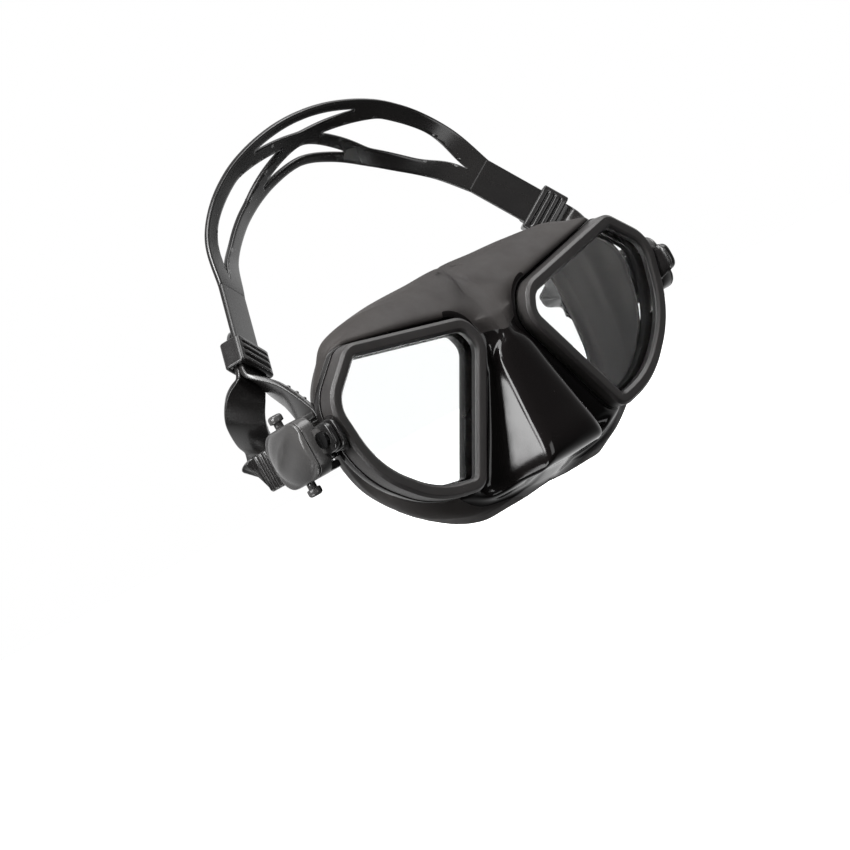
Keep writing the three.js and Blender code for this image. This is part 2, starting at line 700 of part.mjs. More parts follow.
// Keys of the tail's centre line with the width direction at each.
function tailKeys() {
  const mainAt = (d) => keeperCentre.clone().addScaledVector(strapDown, d)
    .addScaledVector(strapOut, -layerShift);
  const tailAt = (d) => keeperCentre.clone().addScaledVector(strapDown, d)
    .addScaledVector(strapOut, layerShift);
  const straight = keeperLength / 2 + keeperTravel + 1;
  const up = V(0, 0, 1);
  const keys = [
    { p: splitPoint.clone().addScaledVector(strapOut, -layerShift), w: strapAcross },
    ...[-1.4, -1, -0.5, 0, 0.5, 1].map((k) => ({ p: mainAt(k * straight), w: strapAcross })),
    { p: V(innerRunX - 0.6, rollerY + 9.5, 15.5), w: V(0.4, -0.6, 0.68) },
    { p: V(innerRunX - 1.2, rollerY + 4.6, 5), w: V(0.08, -0.5, 0.86) },
    { p: V(innerRunX - 0.5, rollerY + 2.4, pivotZ + 1.6), w: V(0, -0.3, 0.95), fine: true },
  ];
  const radius = wrapRadius + strapThickness / 2;
  for (let k = 0; k <= 6; k += 1) {
    const a = (k * Math.PI) / 6;
    keys.push({
      p: V(rollerX - radius * Math.cos(a), rollerY - radius * Math.sin(a), pivotZ),
      w: up,
      fine: true,
    });
  }
  keys.push({ p: V(outerRunX, rollerY + 7, pivotZ), w: up, ribs: true });
  const foldStart = V(outerRunX, runEnd, pivotZ);
  const axis = V(0, Math.cos(foldAngle), Math.sin(foldAngle));
  const over = V(0, Math.sin(foldAngle), -Math.cos(foldAngle));
  const advance = foldRadius / Math.tan(foldAngle);
  for (let k = 0; k <= 6; k += 1) {
    const a = (k * Math.PI) / 6;
    const rolled = over.clone().multiplyScalar(Math.cos(a)).add(V(-Math.sin(a), 0, 0));
    keys.push({
      p: foldStart.clone().add(V(-foldRadius * (1 - Math.cos(a)), 0, 0))
        .addScaledVector(over, foldRadius * Math.sin(a)).addScaledVector(axis, advance * a),
      w: axis.clone().multiplyScalar(Math.sin(foldAngle))
        .addScaledVector(rolled, -Math.cos(foldAngle)),
      ribs: true,
    });
  }
  keys.push({ p: V(80, 41, 15), w: V(0.69, 0.54, 0.48) });
  keys.push({ p: V(80, 35, 21), w: V(0.74, 0.1, 0.55) });
  [1, 0.5, 0, -0.5, -1, -1.4].forEach((k) => {
    keys.push({ p: tailAt(k * straight), w: strapAcross });
  });
  return keys;
}

// A smooth ribbon through keys; ribs stand on its upper side every ribPitch along `ribs` keys.
function tailSections() {
  const keys = tailKeys();
  const curve = new THREE.CatmullRomCurve3(keys.map((k) => k.p), false, 'centripetal');
  curve.arcLengthDivisions = 600;
  const length = curve.getLength();
  const sections = [];
  const place = (distance, rise) => {
    const u = THREE.MathUtils.clamp(distance / length, 0, 1);
    const at = curve.getUtoTmapping(u) * (keys.length - 1);
    const k = Math.min(Math.floor(at), keys.length - 2);
    sections.push({
      p: curve.getPointAt(u),
      t: curve.getTangentAt(u),
      w: mix(keys[k].w, keys[k + 1].w, at - k),
      h: strapWidth / 2,
      up: strapThickness / 2 + rise,
      down: strapThickness / 2,
      ribbed: Boolean(keys[k].ribs),
      fine: Boolean(keys[k].fine),
    });
    return sections.at(-1);
  };
  let distance = 0;
  while (distance < length) {
    const here = place(distance, 0);
    if (here.ribbed && distance + ribPitch < length) {
      const flank = ribWidth / 4;
      place(distance + flank, ribHeight);
      place(distance + ribWidth - flank, ribHeight);
      place(distance + ribWidth, 0);
      distance += ribPitch;
    } else {
      distance += here.fine ? ribPitch / 4 : ribPitch;
    }
  }
  place(length, 0);
  return sections;
}

// The divided rear of the strap: a sheet P(s, q), s from the split to the mid plane and on to
// the other side, q across from -1 (lower edge) to 1 (upper edge).
const rearWidthStart = strapAcross;
const rearWidthEnd = V(0, -0.7, 0.72).normalize();
const rearSpan = rearRoute.length;
function rearCurve() {
  const left = [splitPoint, ...rearRoute].map((p) => p.clone());
  left[0].addScaledVector(strapOut, -layerShift);
  const right = left.slice(0, -1).reverse().map((p) => V(-p.x, p.y, p.z));
  return new THREE.CatmullRomCurve3([...left, ...right], false, 'centripetal');
}

// A band of the rear sheet between two edges q0(s) and q1(s), for s from s0 to s1.
// s counts route points: 0 at the left split, rearSpan at the mid plane, twice that at the right.
// Bands that cross each other differ a little in thickness, by `step`.
function rearBand(s0, s1, steps, step, edges) {
  const curve = rearCurve();
  const total = 2 * rearSpan;
  const sections = Array.from({ length: steps + 1 }, (_, i) => {
    const s = s0 + ((s1 - s0) * i) / steps;
    const half = s <= rearSpan ? s : total - s;
    const k = Math.min(Math.floor(half), rearSpan - 1);
    const width = THREE.MathUtils.lerp(rearHalfWidths[k], rearHalfWidths[k + 1], half - k);
    const ease = THREE.MathUtils.smoothstep(half, 0, rearSpan);
    const t = curve.getTangent(s / total);
    const w = mix(rearWidthStart, rearWidthEnd, ease);
    w.addScaledVector(t, -w.dot(t)).normalize();
    const [q0, q1] = edges(s);
    return {
      p: curve.getPoint(s / total).addScaledVector(w, (width * (q0 + q1)) / 2),
      t,
      w,
      h: (width * (q1 - q0)) / 2,
      up: strapThickness / 2 + step,
      down: strapThickness / 2 + step,
    };
  });
  return ribbon(sections);
}

function headStrap() {
  const end = 2 * rearSpan;
  const fromSplit = (s) => Math.min(s, end - s);
  const overlap = 0.08;
  const gap = (s) => 0.46 * THREE.MathUtils.smoothstep(fromSplit(s), 0.25, 1.4) - overlap;
  const rim = (s) => THREE.MathUtils.lerp(gap(s), 0.66,
    THREE.MathUtils.smoothstep(fromSplit(s), 2.6, 3.3));
  const armHalf = 0.2;
  const armReach = 1.3;
  const arm = (side) => (s) => {
    const q = side * 0.5 * THREE.MathUtils.clamp((s - rearSpan) / armReach, -1, 1);
    return [q - armHalf, q + armHalf];
  };
  const tail = ribbon(tailSections());
  return join(
    tail,
    mirrored(tail),
    rearBand(0, end, 40, 0.3, (s) => [rim(s), 1]),
    rearBand(0, end, 40, 0.2, (s) => [-1, -rim(s)]),
    rearBand(rearSpan - armReach, rearSpan + armReach, 12, 0.1, arm(1)),
    rearBand(rearSpan - armReach, rearSpan + armReach, 12, 0.05, arm(-1)),
  );
}

// ---- keeper ----
// A box-shaped loop round both strap layers, in a frame along the strap.
function keeper() {
  const inside = V(strapWidth / 2 + sideGap, strapThickness + layerGap / 2 + seatGap, 0);
  const outline = (x, y, r) => roundedRectangle(-x, x, -y, y, r);
  const shape = outline(inside.x + keeperWall, inside.y + keeperWall, 1);
  const hole = outline(inside.x, inside.y, 0.3);
  const extrude = (outlineShape, depth) => new THREE.ExtrudeGeometry(outlineShape, {
    depth, bevelEnabled: false, curveSegments: 2,
  }).translate(0, 0, -depth / 2);
  const body = extrude(shape, keeperLength);
  const groove = new THREE.BoxGeometry(2 * inside.x, 0.8, 1.2);
  const grooves = [-1, 1].flatMap((side) => [-1, 0, 1].map((k) =>
    groove.clone().translate(0, side * (inside.y + keeperWall), (k * keeperLength) / 4)));
  const loop = cut(body, extrude(hole, keeperLength + 2), ...grooves);
  const frame = new THREE.Matrix4().makeBasis(strapAcross, strapOut.clone(),
    new THREE.Vector3().crossVectors(strapAcross, strapOut));
  return loop.applyMatrix4(frame.setPosition(keeperCentre));
}

// ---- buckle ----
const trayTop = pivotZ + buckleHeight / 2;
const trayBottom = pivotZ - buckleHeight / 2;
const trayBack = buckleFront + buckleLength;
const trayOuter = trayFace + trayDepth;
const railInner = strapWidth / 2 + sideGap;
const mechanismX = trayFace + trayWall + 2.1; // mid depth of the tray's hollow
const buttonY = buckleFront + 12;
const pawlY = buckleFront + 18;
const knobGap = seatGap + buttonTravel;
const ledgeZ = pawlWidth / 2 + 1.5; // of the springs' seats from the buckle's middle
const stemDisc = 0.7;

function trayOutline(inset) {
  return roundedRectangle(buckleFront + inset, trayBack - inset, trayBottom + inset,
    trayTop - inset, buckleCorner - inset);
}

function buckleHousing() {
  const yokeArm = box(trayFace, trayFace + yokeThickness, pivotY, buckleFront + 1,
    pivotZ - lugRadius + 0.4, pivotZ + lugRadius - 0.4);
  const yokeDisc = rodX(lugRadius - 0.4, trayFace, trayFace + yokeThickness, pivotY, pivotZ, 24);
  const tray = plateX(trayOutline(0), trayFace, trayOuter);
  const hollow = plateX(trayOutline(trayWall), trayFace + trayWall, trayOuter + 1);
  const railBack = trayBack - 2;
  const rails = [1, -1].map((side) => {
    const a = pivotZ + side * railInner;
    const b = pivotZ + side * (buckleHeight / 2);
    return box(rollerX - journalRadius - 0.7, trayFace + 0.2, buckleFront + railFront, railBack,
      Math.min(a, b), Math.max(a, b));
  });
  const seats = [1, -1].map((side) => {
    const z = pivotZ + side * ledgeZ;
    return box(trayFace + 0.2, trayOuter - 0.6, buttonY - 2, buttonY + 2, z - 0.5, z + 0.5);
  });
  const shell = join(cut(tray, hollow), yokeArm, yokeDisc, ...rails, ...seats);
  const pivotBore = rodX(pinRadius + runGap, trayFace - 1, trayFace + 4, pivotY, pivotZ);
  const journals = rodZ(journalRadius + runGap, pivotZ - railInner - journalLength - 0.3,
    pivotZ + railInner + journalLength + 0.3, rollerX, rollerY);
  const stems = rodZ(stemRadius + runGap, pivotZ + buckleHeight / 2 - trayWall - 1,
    trayTop + 1, mechanismX, buttonY);
  const lowStems = rodZ(stemRadius + runGap, trayBottom - 1,
    pivotZ - buckleHeight / 2 + trayWall + 1, mechanismX, buttonY);
  const pawlPin = rodZ(0.8 + runGap, trayBottom + 0.6, trayTop - 0.6, mechanismX, pawlY);
  const window = box(trayFace - 1, trayFace + trayWall + 0.5, pawlY - pawlLength - 1.4,
    pawlY - 1.6, pivotZ - pawlWidth / 2 - 0.4, pivotZ + pawlWidth / 2 + 0.4);
  return cut(shell, pivotBore, journals, stems, lowStems, pawlPin, window);
}

function buckleCover() {
  return plateX(trayOutline(0.1), trayOuter + seatGap, trayOuter + seatGap + coverRise, 1.1);
}

function hingePin() {
  const shank = rodX(pinRadius, pivotX - pinDepth + seatGap, trayFace + yokeThickness + 0.6,
    pivotY, pivotZ);
  const start = trayFace + yokeThickness + 0.3;
  return join(shank, rodX(pinHead, start, start + 1, pivotY, pivotZ));
}

function strapRoller() {
  const half = railInner - 0.3;
  const body = rodZ(rollerRadius, pivotZ - half, pivotZ + half, rollerX, rollerY);
  const reach = railInner + journalLength;
  return join(body, rodZ(journalRadius, pivotZ - reach, pivotZ + reach, rollerX, rollerY));
}

function releaseButton(side) {
  const along = (a, b, r) => rodZ(r, Math.min(pivotZ + side * a, pivotZ + side * b),
    Math.max(pivotZ + side * a, pivotZ + side * b), mechanismX, buttonY);
  const wallInside = buckleHeight / 2 - trayWall;
  const knobStart = buckleHeight / 2 + knobGap;
  return join(
    along(wallInside - seatGap - stemDisc, knobStart + 0.5, stemRadius),
    along(wallInside - seatGap - stemDisc, wallInside - seatGap, stemRadius + 0.5),
    along(knobStart, knobStart + buttonHeight, buttonRadius),
  );
}

function buttonSpring(side) {
  const start = ledgeZ + 0.5 + springWire + 0.1;
  const end = buckleHeight / 2 - trayWall - seatGap - stemDisc - springWire - 0.1;
  const steps = springTurns * 8;
  const points = Array.from({ length: steps + 1 }, (_, i) => {
    const a = (i / 8) * 2 * Math.PI;
    return V(mechanismX + springRadius * Math.cos(a), buttonY + springRadius * Math.sin(a),
      pivotZ + side * (start + ((end - start) * i) / steps));
  });
  const wire = new THREE.Shape();
  wire.absarc(0, 0, springWire, 0, 2 * Math.PI);
  return new THREE.ExtrudeGeometry(wire, {
    steps, extrudePath: new THREE.CatmullRomCurve3(points), curveSegments: 3,
  });
}

function lockingPawl() {
  const half = pawlWidth / 2;
  const tipY = pawlY - pawlLength;
  const bar = box(mechanismX - pawlThickness / 2, mechanismX + pawlThickness / 2, tipY, pawlY,
    pivotZ - half, pivotZ + half);
  const hub = rodZ(1.3, pivotZ - half, pivotZ + half, mechanismX, pawlY);
  const pinReach = buckleHeight / 2 - 0.9;
  const pin = rodZ(0.8, pivotZ - pinReach, pivotZ + pinReach, mechanismX, pawlY);
  const tooth = box(trayFace - 0.1, mechanismX, tipY, tipY + 0.8, pivotZ - half, pivotZ + half);
  return join(bar, hub, pin, tooth);
}

// ---- the assembly ----
const group = new THREE.Group();
const model = new THREE.Group();
model.position.copy(sealCentre).negate();
group.add(model);

function addPart(name, geometry, material) {
  const mesh = new THREE.Mesh(geometry, material);
  mesh.name = name;
  model.add(mesh);
}

function addPair(name, geometry, material) {
  addPart(`${name}_left`, geometry, material());
  addPart(`${name}_right`, mirrored(geometry), material());
}

addPart('skirt', skirtRoundFrame(), siliconeMatte());
addPart('carrier_frame', carrierFrame(), frameBlack());
addPair('bezel', bezelRing(), bezelCharcoal);
addPair('lens', lensGlass(), glass);

addPair('hinge_pin', hingePin(), steel);
addPair('buckle_housing', buckleHousing(), buckleSatin);
addPair('buckle_cover', buckleCover(), buckleSatin);
addPair('strap_roller', strapRoller(), steel);
addPair('locking_pawl', lockingPawl(), steel);
addPair('release_button_upper', releaseButton(1), buckleSatin);
addPair('release_button_lower', releaseButton(-1), buckleSatin);
addPair('button_spring_upper', buttonSpring(1), steel);
addPair('button_spring_lower', buttonSpring(-1), steel);
addPair('strap_keeper', keeper(), frameBlack);
addPart('head_strap', headStrap(), strapGloss());

export default group;
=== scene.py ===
"""A low-volume two-lens diving mask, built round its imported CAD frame.

Shapes are worked out in millimetres in the design frame of the part: +X is the wearer's left,
+Y points back towards the head, +Z is up, and the origin is midway between the lenses on the
lens plane. `row` turns those into metres in the row frame, whose origin is the face seal.
"""
import math

import bmesh
import bpy
import numpy as np
from mathutils import Matrix, Vector


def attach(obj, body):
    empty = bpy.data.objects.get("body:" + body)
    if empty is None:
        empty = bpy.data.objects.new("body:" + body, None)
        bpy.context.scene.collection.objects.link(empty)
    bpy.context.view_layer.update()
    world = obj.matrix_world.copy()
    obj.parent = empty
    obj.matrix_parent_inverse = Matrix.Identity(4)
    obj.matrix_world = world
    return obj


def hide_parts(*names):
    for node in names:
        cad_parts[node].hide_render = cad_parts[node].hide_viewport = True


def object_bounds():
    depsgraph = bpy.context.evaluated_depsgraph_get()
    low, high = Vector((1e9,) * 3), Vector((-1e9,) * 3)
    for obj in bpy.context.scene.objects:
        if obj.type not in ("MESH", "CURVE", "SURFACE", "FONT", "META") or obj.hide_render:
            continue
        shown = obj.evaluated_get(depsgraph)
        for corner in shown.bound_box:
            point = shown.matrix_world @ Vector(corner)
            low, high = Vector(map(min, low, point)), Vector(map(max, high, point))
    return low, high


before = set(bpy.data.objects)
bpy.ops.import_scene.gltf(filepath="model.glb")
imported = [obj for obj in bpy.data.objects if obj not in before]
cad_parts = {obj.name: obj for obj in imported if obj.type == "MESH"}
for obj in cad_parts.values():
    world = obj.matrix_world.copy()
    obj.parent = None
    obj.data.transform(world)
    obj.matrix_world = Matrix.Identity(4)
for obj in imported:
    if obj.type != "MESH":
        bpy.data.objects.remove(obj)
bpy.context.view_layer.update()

# ---- sizes in millimetres, the same as the CAD part's ----
LENS_CENTRE_X = 41
LENS_PITCH = math.radians(-8)
LENS_YAW = math.radians(1.7)
LENS_OUTER, LENS_INNER, LENS_TOP, LENS_BOTTOM = 38.5, 31, 20.5, 42.5
GLASS = 3.2
BEZEL_WIDTH = 4.7
BEZEL_WALL = 2.1
BEZEL_FRONT = 3.4
CARRIER = 2.9
CARRIER_LEDGE = 5.2
CARRIER_PROUD = 0.3
SEAT_GAP = 0.3

SKIRT_WALL = 1.8
BEAD_WALL = 0.7
LIP_EDGE = 0.9
SEAL_LIP = 8.5
SEAL_ROLL = 2.4
NOSE_TOP_HALF, NOSE_TIP_HALF = 7, 12
NOSE_TOP_Z, NOSE_TIP_Z = -6, -40
BEAD_HEIGHT = 5.2

PIVOT = (82, 1, -3)
BUCKLE_FRONT = 5
RAIL_FRONT = 5.7
ROLLER_BACK = 8.1
BUCKLE_LENGTH = 22
BUCKLE_HEIGHT = 20
TRAY_DEPTH = 5.4
COVER_RISE = 2.6
ROLLER_RADIUS = 1.5

STRAP_WIDTH = 13.4
STRAP_THICKNESS = 1.8
RIB_HEIGHT = 0.8
RIB_PITCH = 3
RIB_WIDTH = 1.2
SIDE_GAP = 0.4
FOLD_ANGLE = math.radians(46)
FREE_RUN = 18
FOLD_RADIUS = 3.2
KEEPER_LENGTH = 10
KEEPER_WALL = 1.7
KEEPER_TRAVEL = 2
LAYER_GAP = 0.4

SEAL_CENTRE = np.array([0.0, 22.0, -10.0])
KEEPER_CENTRE = np.array([73.5, 33.0, 32.0])
KEEPER_FACING = np.array([0.507, 0.864, 0.0])
SPLIT_POINT = np.array([61.3, 40.9, 55.0])
REAR_ROUTE = [(52.5, 44.5, 70), (37, 46.5, 83), (19, 45.8, 91), (0, 44.8, 94.1)]
REAR_HALF_WIDTHS = [6.7, 10, 12.5, 11.8, 10.4]

# ---- camera: the viewing angle, lens and place, in the design frame ----
CAMERA_AZIMUTH = math.radians(-38)
CAMERA_ELEVATION = math.radians(0.1)
CAMERA_ROLL = math.radians(-28.75)
CAMERA_SHIFT = (25.84, 30.59)  # the design origin in the view, right and up
CAMERA_DISTANCE = 820.8
CAMERA_LENS = 104.0


def V(x, y, z):
    return np.array([x, y, z], dtype=float)


def unit(v):
    return v / max(np.linalg.norm(v), 1e-12)


def mix(a, b, t):
    return a * (1 - t) + b * t


def smoothstep(x, low, high):
    t = np.clip((x - low) / (high - low), 0, 1)
    return t * t * (3 - 2 * t)


def row(points):
    return (np.asarray(points, dtype=float) - SEAL_CENTRE) * 0.001


# ---- meshes ----
def piece(name, points, faces, material, body, replaces, attributes=None):
    """A shown mesh from points in the design frame, on a body and in the place of CAD nodes."""
    mesh = bpy.data.meshes.new(name)
    mesh.from_pydata(row(points).tolist(), [], [list(map(int, f)) for f in faces])
    for key, values in (attributes or {}).items():
        layer = mesh.attributes.new(key, "FLOAT", "POINT")
        layer.data.foreach_set("value", np.asarray(values, dtype=np.float32))
    mesh.validate()
    tidy = bmesh.new()
    tidy.from_mesh(mesh)
    bmesh.ops.recalc_face_normals(tidy, faces=tidy.faces)
    tidy.to_mesh(mesh)
    tidy.free()
    mesh.polygons.foreach_set("use_smooth", [True] * len(mesh.polygons))
    obj = bpy.data.objects.new(name, mesh)
    bpy.context.scene.collection.objects.link(obj)
    mesh.materials.append(material)
    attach(obj, body)
    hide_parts(*replaces)
    return obj


def mirrored(points):
    flipped = np.array(points, dtype=float)
    flipped[:, 0] *= -1
    return flipped


def mirror_mesh(mesh):
    return mirrored(mesh[0]), mesh[1]


def pair(name, mesh, material, body, node, attributes=None):
    """The left piece and its mirror image, named by side, as are their CAD nodes and body's {}."""
    points, faces = mesh
    return [piece(f"{name}_{side}", placed, faces, material, body.format(side), [f"{node}_{side}"],
                  attributes)
            for side, placed in (("left", points), ("right", mirrored(points)))]


def grid_faces(rows, columns, close_rows, close_columns, start=0):
    faces = []
    for i in range(rows if close_rows else rows - 1):
        n = (i + 1) % rows
        for j in range(columns if close_columns else columns - 1):
            k = (j + 1) % columns
            faces.append([start + i * columns + j, start + n * columns + j,
                          start + n * columns + k, start + i * columns + k])
    return faces


def rounded_polygon(corners, steps):
    """Corners (x, y, radius), anticlockwise or not, with each corner turned into an arc."""
    out = []
    count = len(corners)
    for k, (x, y, r) in enumerate(corners):
        here = np.array([x, y], dtype=float)
        to_last = unit(np.array(corners[k - 1][:2], dtype=float) - here)
        to_next = unit(np.array(corners[(k + 1) % count][:2], dtype=float) - here)
        half = math.acos(np.clip(to_last @ to_next, -1, 1)) / 2
        if r <= 0 or half > math.pi / 2 - 1e-3:
            out.append(here)
            continue
        centre = here + unit(to_last + to_next) * (r / math.sin(half))
        reach = r / math.tan(half)
        first, last = here + to_last * reach - centre, here + to_next * reach - centre
        swing = math.pi - 2 * half
        for j in range(steps + 1):
            t = j / steps
            blend = (first * math.sin((1 - t) * swing) + last * math.sin(t * swing)) / math.sin(swing)
            out.append(centre + blend)
    return np.array(out)


# ---- lens outline ----
OUTLINE = [
    (-26, LENS_TOP - 9, 9),
    (-LENS_INNER, 1, 10),
    (-6, -LENS_BOTTOM, 6.5),
    (13.5, 3.4 - LENS_BOTTOM, 38),
    (LENS_OUTER - 4.8, -21, 38),
    (LENS_OUTER + 0.6, 6.5, 14),
    (22.8, LENS_TOP + 0.4, 7),
]
PLANE_U = V(math.cos(LENS_YAW), math.sin(LENS_YAW), 0)
PLANE_N = V(math.sin(LENS_YAW) * math.cos(LENS_PITCH),
            -math.cos(LENS_YAW) * math.cos(LENS_PITCH), math.sin(LENS_PITCH))
PLANE_V = np.cross(PLANE_N, PLANE_U)


def on_plane(u, v, w):
    u, v, w = (np.asarray(a, dtype=float)[..., None] for a in (u, v, w))
    return V(LENS_CENTRE_X, 0, 0) + u * PLANE_U + v * PLANE_V + w * PLANE_N


ARC_STEPS = 12
EDGE_STEPS = [3, 22, 6, 3, 3, 6, 24]


def lens_outline(inset):
    """Rows of u, v and a count of corners: an arc runs from k to k + 0.5, a straight on from it."""
    count = len(OUTLINE)
    arcs = []
    for k, (u, v, r) in enumerate(OUTLINE):
        before, after = OUTLINE[k - 1], OUTLINE[(k + 1) % count]
        n0 = unit(np.array([before[1] - v, u - before[0]]))
        n1 = unit(np.array([v - after[1], after[0] - u]))
        radius = max(r - inset, 0.5)
        reach = (inset + radius) / (1 + n0 @ n1)
        centre = np.array([u, v]) + (n0 + n1) * reach
        start = math.atan2(-n0[1], -n0[0])
        turn = math.acos(np.clip(n0 @ n1, -1, 1))
        t = np.linspace(0, 1, ARC_STEPS + 1)
        angle = start + turn * t
        arcs.append(np.stack([centre[0] + radius * np.cos(angle),
                              centre[1] + radius * np.sin(angle), k + 0.5 * t], axis=1))
    out = []
    for k, arc in enumerate(arcs):
        out.append(arc)
        last, first = arc[-1], arcs[(k + 1) % count][0]
        t = np.linspace(0, 1, EDGE_STEPS[k] + 2)[1:-1, None]
        straight = last[None, :2] * (1 - t) + first[None, :2] * t
        out.append(np.hstack([straight, k + 0.5 + 0.5 * t]))
    return np.vstack(out)


def lens_ring(section):
    """Points and faces of a closed ring round the left lens; section rows are inset, height."""
    loops = []
    for inset, w in section:
        o = lens_outline(inset)
        loops.append(on_plane(o[:, 0], o[:, 1], np.full(len(o), w)))
    points = np.stack(loops, axis=1)
    rows, columns = points.shape[:2]
    return points.reshape(-1, 3), grid_faces(rows, columns, True, True)


# ---- materials ----
class Nodes:
    """A small builder for one material's node tree."""

    def __init__(self, name):
        self.material = bpy.data.materials.new(name)
        self.material.use_nodes = True
        self.tree = self.material.node_tree
        self.shader = self.tree.nodes["Principled BSDF"]
        self.place = self.add("ShaderNodeTexCoord").outputs["Object"]

    def add(self, kind, **settings):
        node = self.tree.nodes.new(kind)
        for key, value in settings.items():
            setattr(node, key, value)
        return node

    def link(self, source, target):
        self.tree.links.new(source, target)

    def fixed(self, **sockets):
        """Uniform values, set straight on the shader's own sockets."""
        for key, value in sockets.items():
            self.shader.inputs[key.replace("_", " ")].default_value = value

    def noise(self, scale, detail=3, roughness=0.55, stretch=None):
        node = self.add("ShaderNodeTexNoise")
        node.inputs["Scale"].default_value = scale
        node.inputs["Detail"].default_value = detail
        node.inputs["Roughness"].default_value = roughness
        if stretch:
            mapping = self.add("ShaderNodeMapping")
            mapping.inputs["Scale"].default_value = stretch
            self.link(self.place, mapping.inputs["Vector"])
            self.link(mapping.outputs["Vector"], node.inputs["Vector"])
        else:
            self.link(self.place, node.inputs["Vector"])
        return node.outputs["Fac"]

    def remap(self, value, low, high, to_low=0.0, to_high=1.0):
        node = self.add("ShaderNodeMapRange")
        self.link(value, node.inputs["Value"])
        for key, number in (("From Min", low), ("From Max", high), ("To Min", to_low), ("To Max", to_high)):
            node.inputs[key].default_value = number
        return node.outputs["Result"]

    def math(self, operation, first, second):
        node = self.add("ShaderNodeMath", operation=operation, use_clamp=True)
        for socket, value in zip(node.inputs, (first, second)):
            if isinstance(value, (int, float)):
                socket.default_value = value
            else:
                self.link(value, socket)
        return node.outputs[0]

    def blend_value(self, factor, first, second):
        node = self.add("ShaderNodeMix")
        self.link(factor, node.inputs["Factor"])
        for socket, value in ((node.inputs["A"], first), (node.inputs["B"], second)):
            if isinstance(value, (int, float)):
                socket.default_value = value
            else:
                self.link(value, socket)
        return node.outputs["Result"]

    def blend_colour(self, factor, first, second):
        node = self.add("ShaderNodeMix", data_type="RGBA")
        self.link(factor, node.inputs["Factor"])
        for socket, value in ((node.inputs[6], first), (node.inputs[7], second)):
            if isinstance(value, tuple):
                socket.default_value = (*value, 1)
            else:
                self.link(value, socket)
        return node.outputs[2]

    def attribute(self, name):
        return self.add("ShaderNodeAttribute", attribute_name=name).outputs["Fac"]

    def specks(self, scale, amount):
        """Small sparse dots of dust: 1 in a dot, 0 elsewhere."""
        cells = self.add("ShaderNodeTexVoronoi")
        cells.inputs["Scale"].default_value = scale
        self.link(self.place, cells.inputs["Vector"])
        chosen = self.remap(self.noise(scale * 0.31, 2), amount, amount + 0.02)
        near = self.remap(cells.outputs["Distance"], 0.13, 0.06)
        return self.math("MULTIPLY", near, chosen)

    def bump(self, height, distance, strength=1.0):
        node = self.add("ShaderNodeBump")
        node.inputs["Strength"].default_value = strength
        node.inputs["Distance"].default_value = distance
        self.link(height, node.inputs["Height"])
        self.link(node.outputs["Normal"], self.shader.inputs["Normal"])


def skirt_silicone():
    """Matte moulded silicone that turns glossy where the `gloss` attribute says. Its rough zone's tones are
    painted lighter than the glossy zone's near black, a painted sheen.
    """
    n = Nodes("skirt_silicone")
    gloss = n.remap(n.attribute("gloss"), 0.35, 0.65)
    cloud = n.remap(n.noise(38, 4), 0.35, 0.7)
    # painted sheen: the rough zone's tones are lighter than the glossy zone's, standing in for its diffuse
    # sheen
    matte_painted_sheen = n.blend_colour(cloud, (0.027, 0.0235, 0.0225), (0.034, 0.030, 0.028))
    # real dust specks laid over the painted sheen
    sheen_and_dust = n.blend_colour(n.specks(900, 0.68), matte_painted_sheen, (0.09, 0.085, 0.08))
    polished = n.blend_colour(n.specks(700, 0.66), (0.007, 0.006, 0.006), (0.09, 0.085, 0.08))
    n.link(n.blend_colour(gloss, sheen_and_dust, polished), n.shader.inputs["Base Color"])
    rough = n.remap(n.noise(160, 3), 0.3, 0.7, 0.56, 0.68)
    smooth = n.remap(n.noise(70, 3), 0.3, 0.75, 0.10, 0.2)
    n.link(n.blend_value(gloss, rough, smooth), n.shader.inputs["Roughness"])
    grain = n.blend_value(gloss, n.noise(2600, 2), n.noise(220, 2))
    n.bump(grain, 0.00004, 0.5)
    n.fixed(IOR=1.43, Specular_IOR_Level=0.45)
    return n.material


def moulded(name, cloud, tones, dust, rough, relief, yoke=None, **fixed):
    """Moulded plastic or silicone: clouded tones under sparse dust, uneven gloss and fine relief.

    cloud is a noise's scale and detail, and so are the first two numbers of rough and relief. dust
    is a scale, an amount and a colour. `yoke` is the colour where the mesh's yoke attribute is 1.
    """
    n = Nodes(name)
    base = n.blend_colour(n.remap(n.noise(*cloud), 0.35, 0.7), *tones)
    if yoke:
        base = n.blend_colour(n.remap(n.attribute("yoke"), 0.4, 0.6), base, yoke)
    scale, amount, colour = dust
    n.link(n.blend_colour(n.specks(scale, amount), base, colour), n.shader.inputs["Base Color"])
    n.link(n.remap(n.noise(*rough[:2]), 0.3, 0.72, *rough[2:]), n.shader.inputs["Roughness"])
    n.bump(n.noise(*relief[:2]), *relief[2:])
    n.fixed(**fixed)
    return n.material


def black_plastic(name, tone, low, high):
    darker = tuple(0.75 * c for c in tone)
    return moulded(name, (60, 3), (darker, tone), (800, 0.66, (0.12, 0.115, 0.11)), (110, 4, low, high),
                   (900, 3, 0.00002, 0.5), IOR=1.49)


def bezel_plastic():
    """Spark-textured satin plastic, rubbed a little brighter where it is handled, with painted shade on its
    inner wall.
    """
    n = Nodes("bezel_plastic")
    fine = n.noise(1900, 3, 0.7)
    rub = n.remap(n.noise(45, 4), 0.45, 0.75)
    base = n.blend_colour(rub, (0.030, 0.028, 0.0275), (0.043, 0.040, 0.039))
    # painted shade: the inner wall, recessed between the front face and the glass, is coloured near black
    inner_wall_shade = n.blend_colour(n.remap(n.attribute("inner"), 0.4, 0.6), base, (0.010, 0.0095, 0.0095))
    n.link(n.blend_colour(n.specks(750, 0.65), inner_wall_shade, (0.2, 0.19, 0.18)), n.shader.inputs["Base Color"])
    n.link(n.remap(fine, 0.25, 0.75, 0.34, 0.5), n.shader.inputs["Roughness"])
    n.bump(fine, 0.00009, 0.6)
    n.fixed(IOR=1.5)
    return n.material


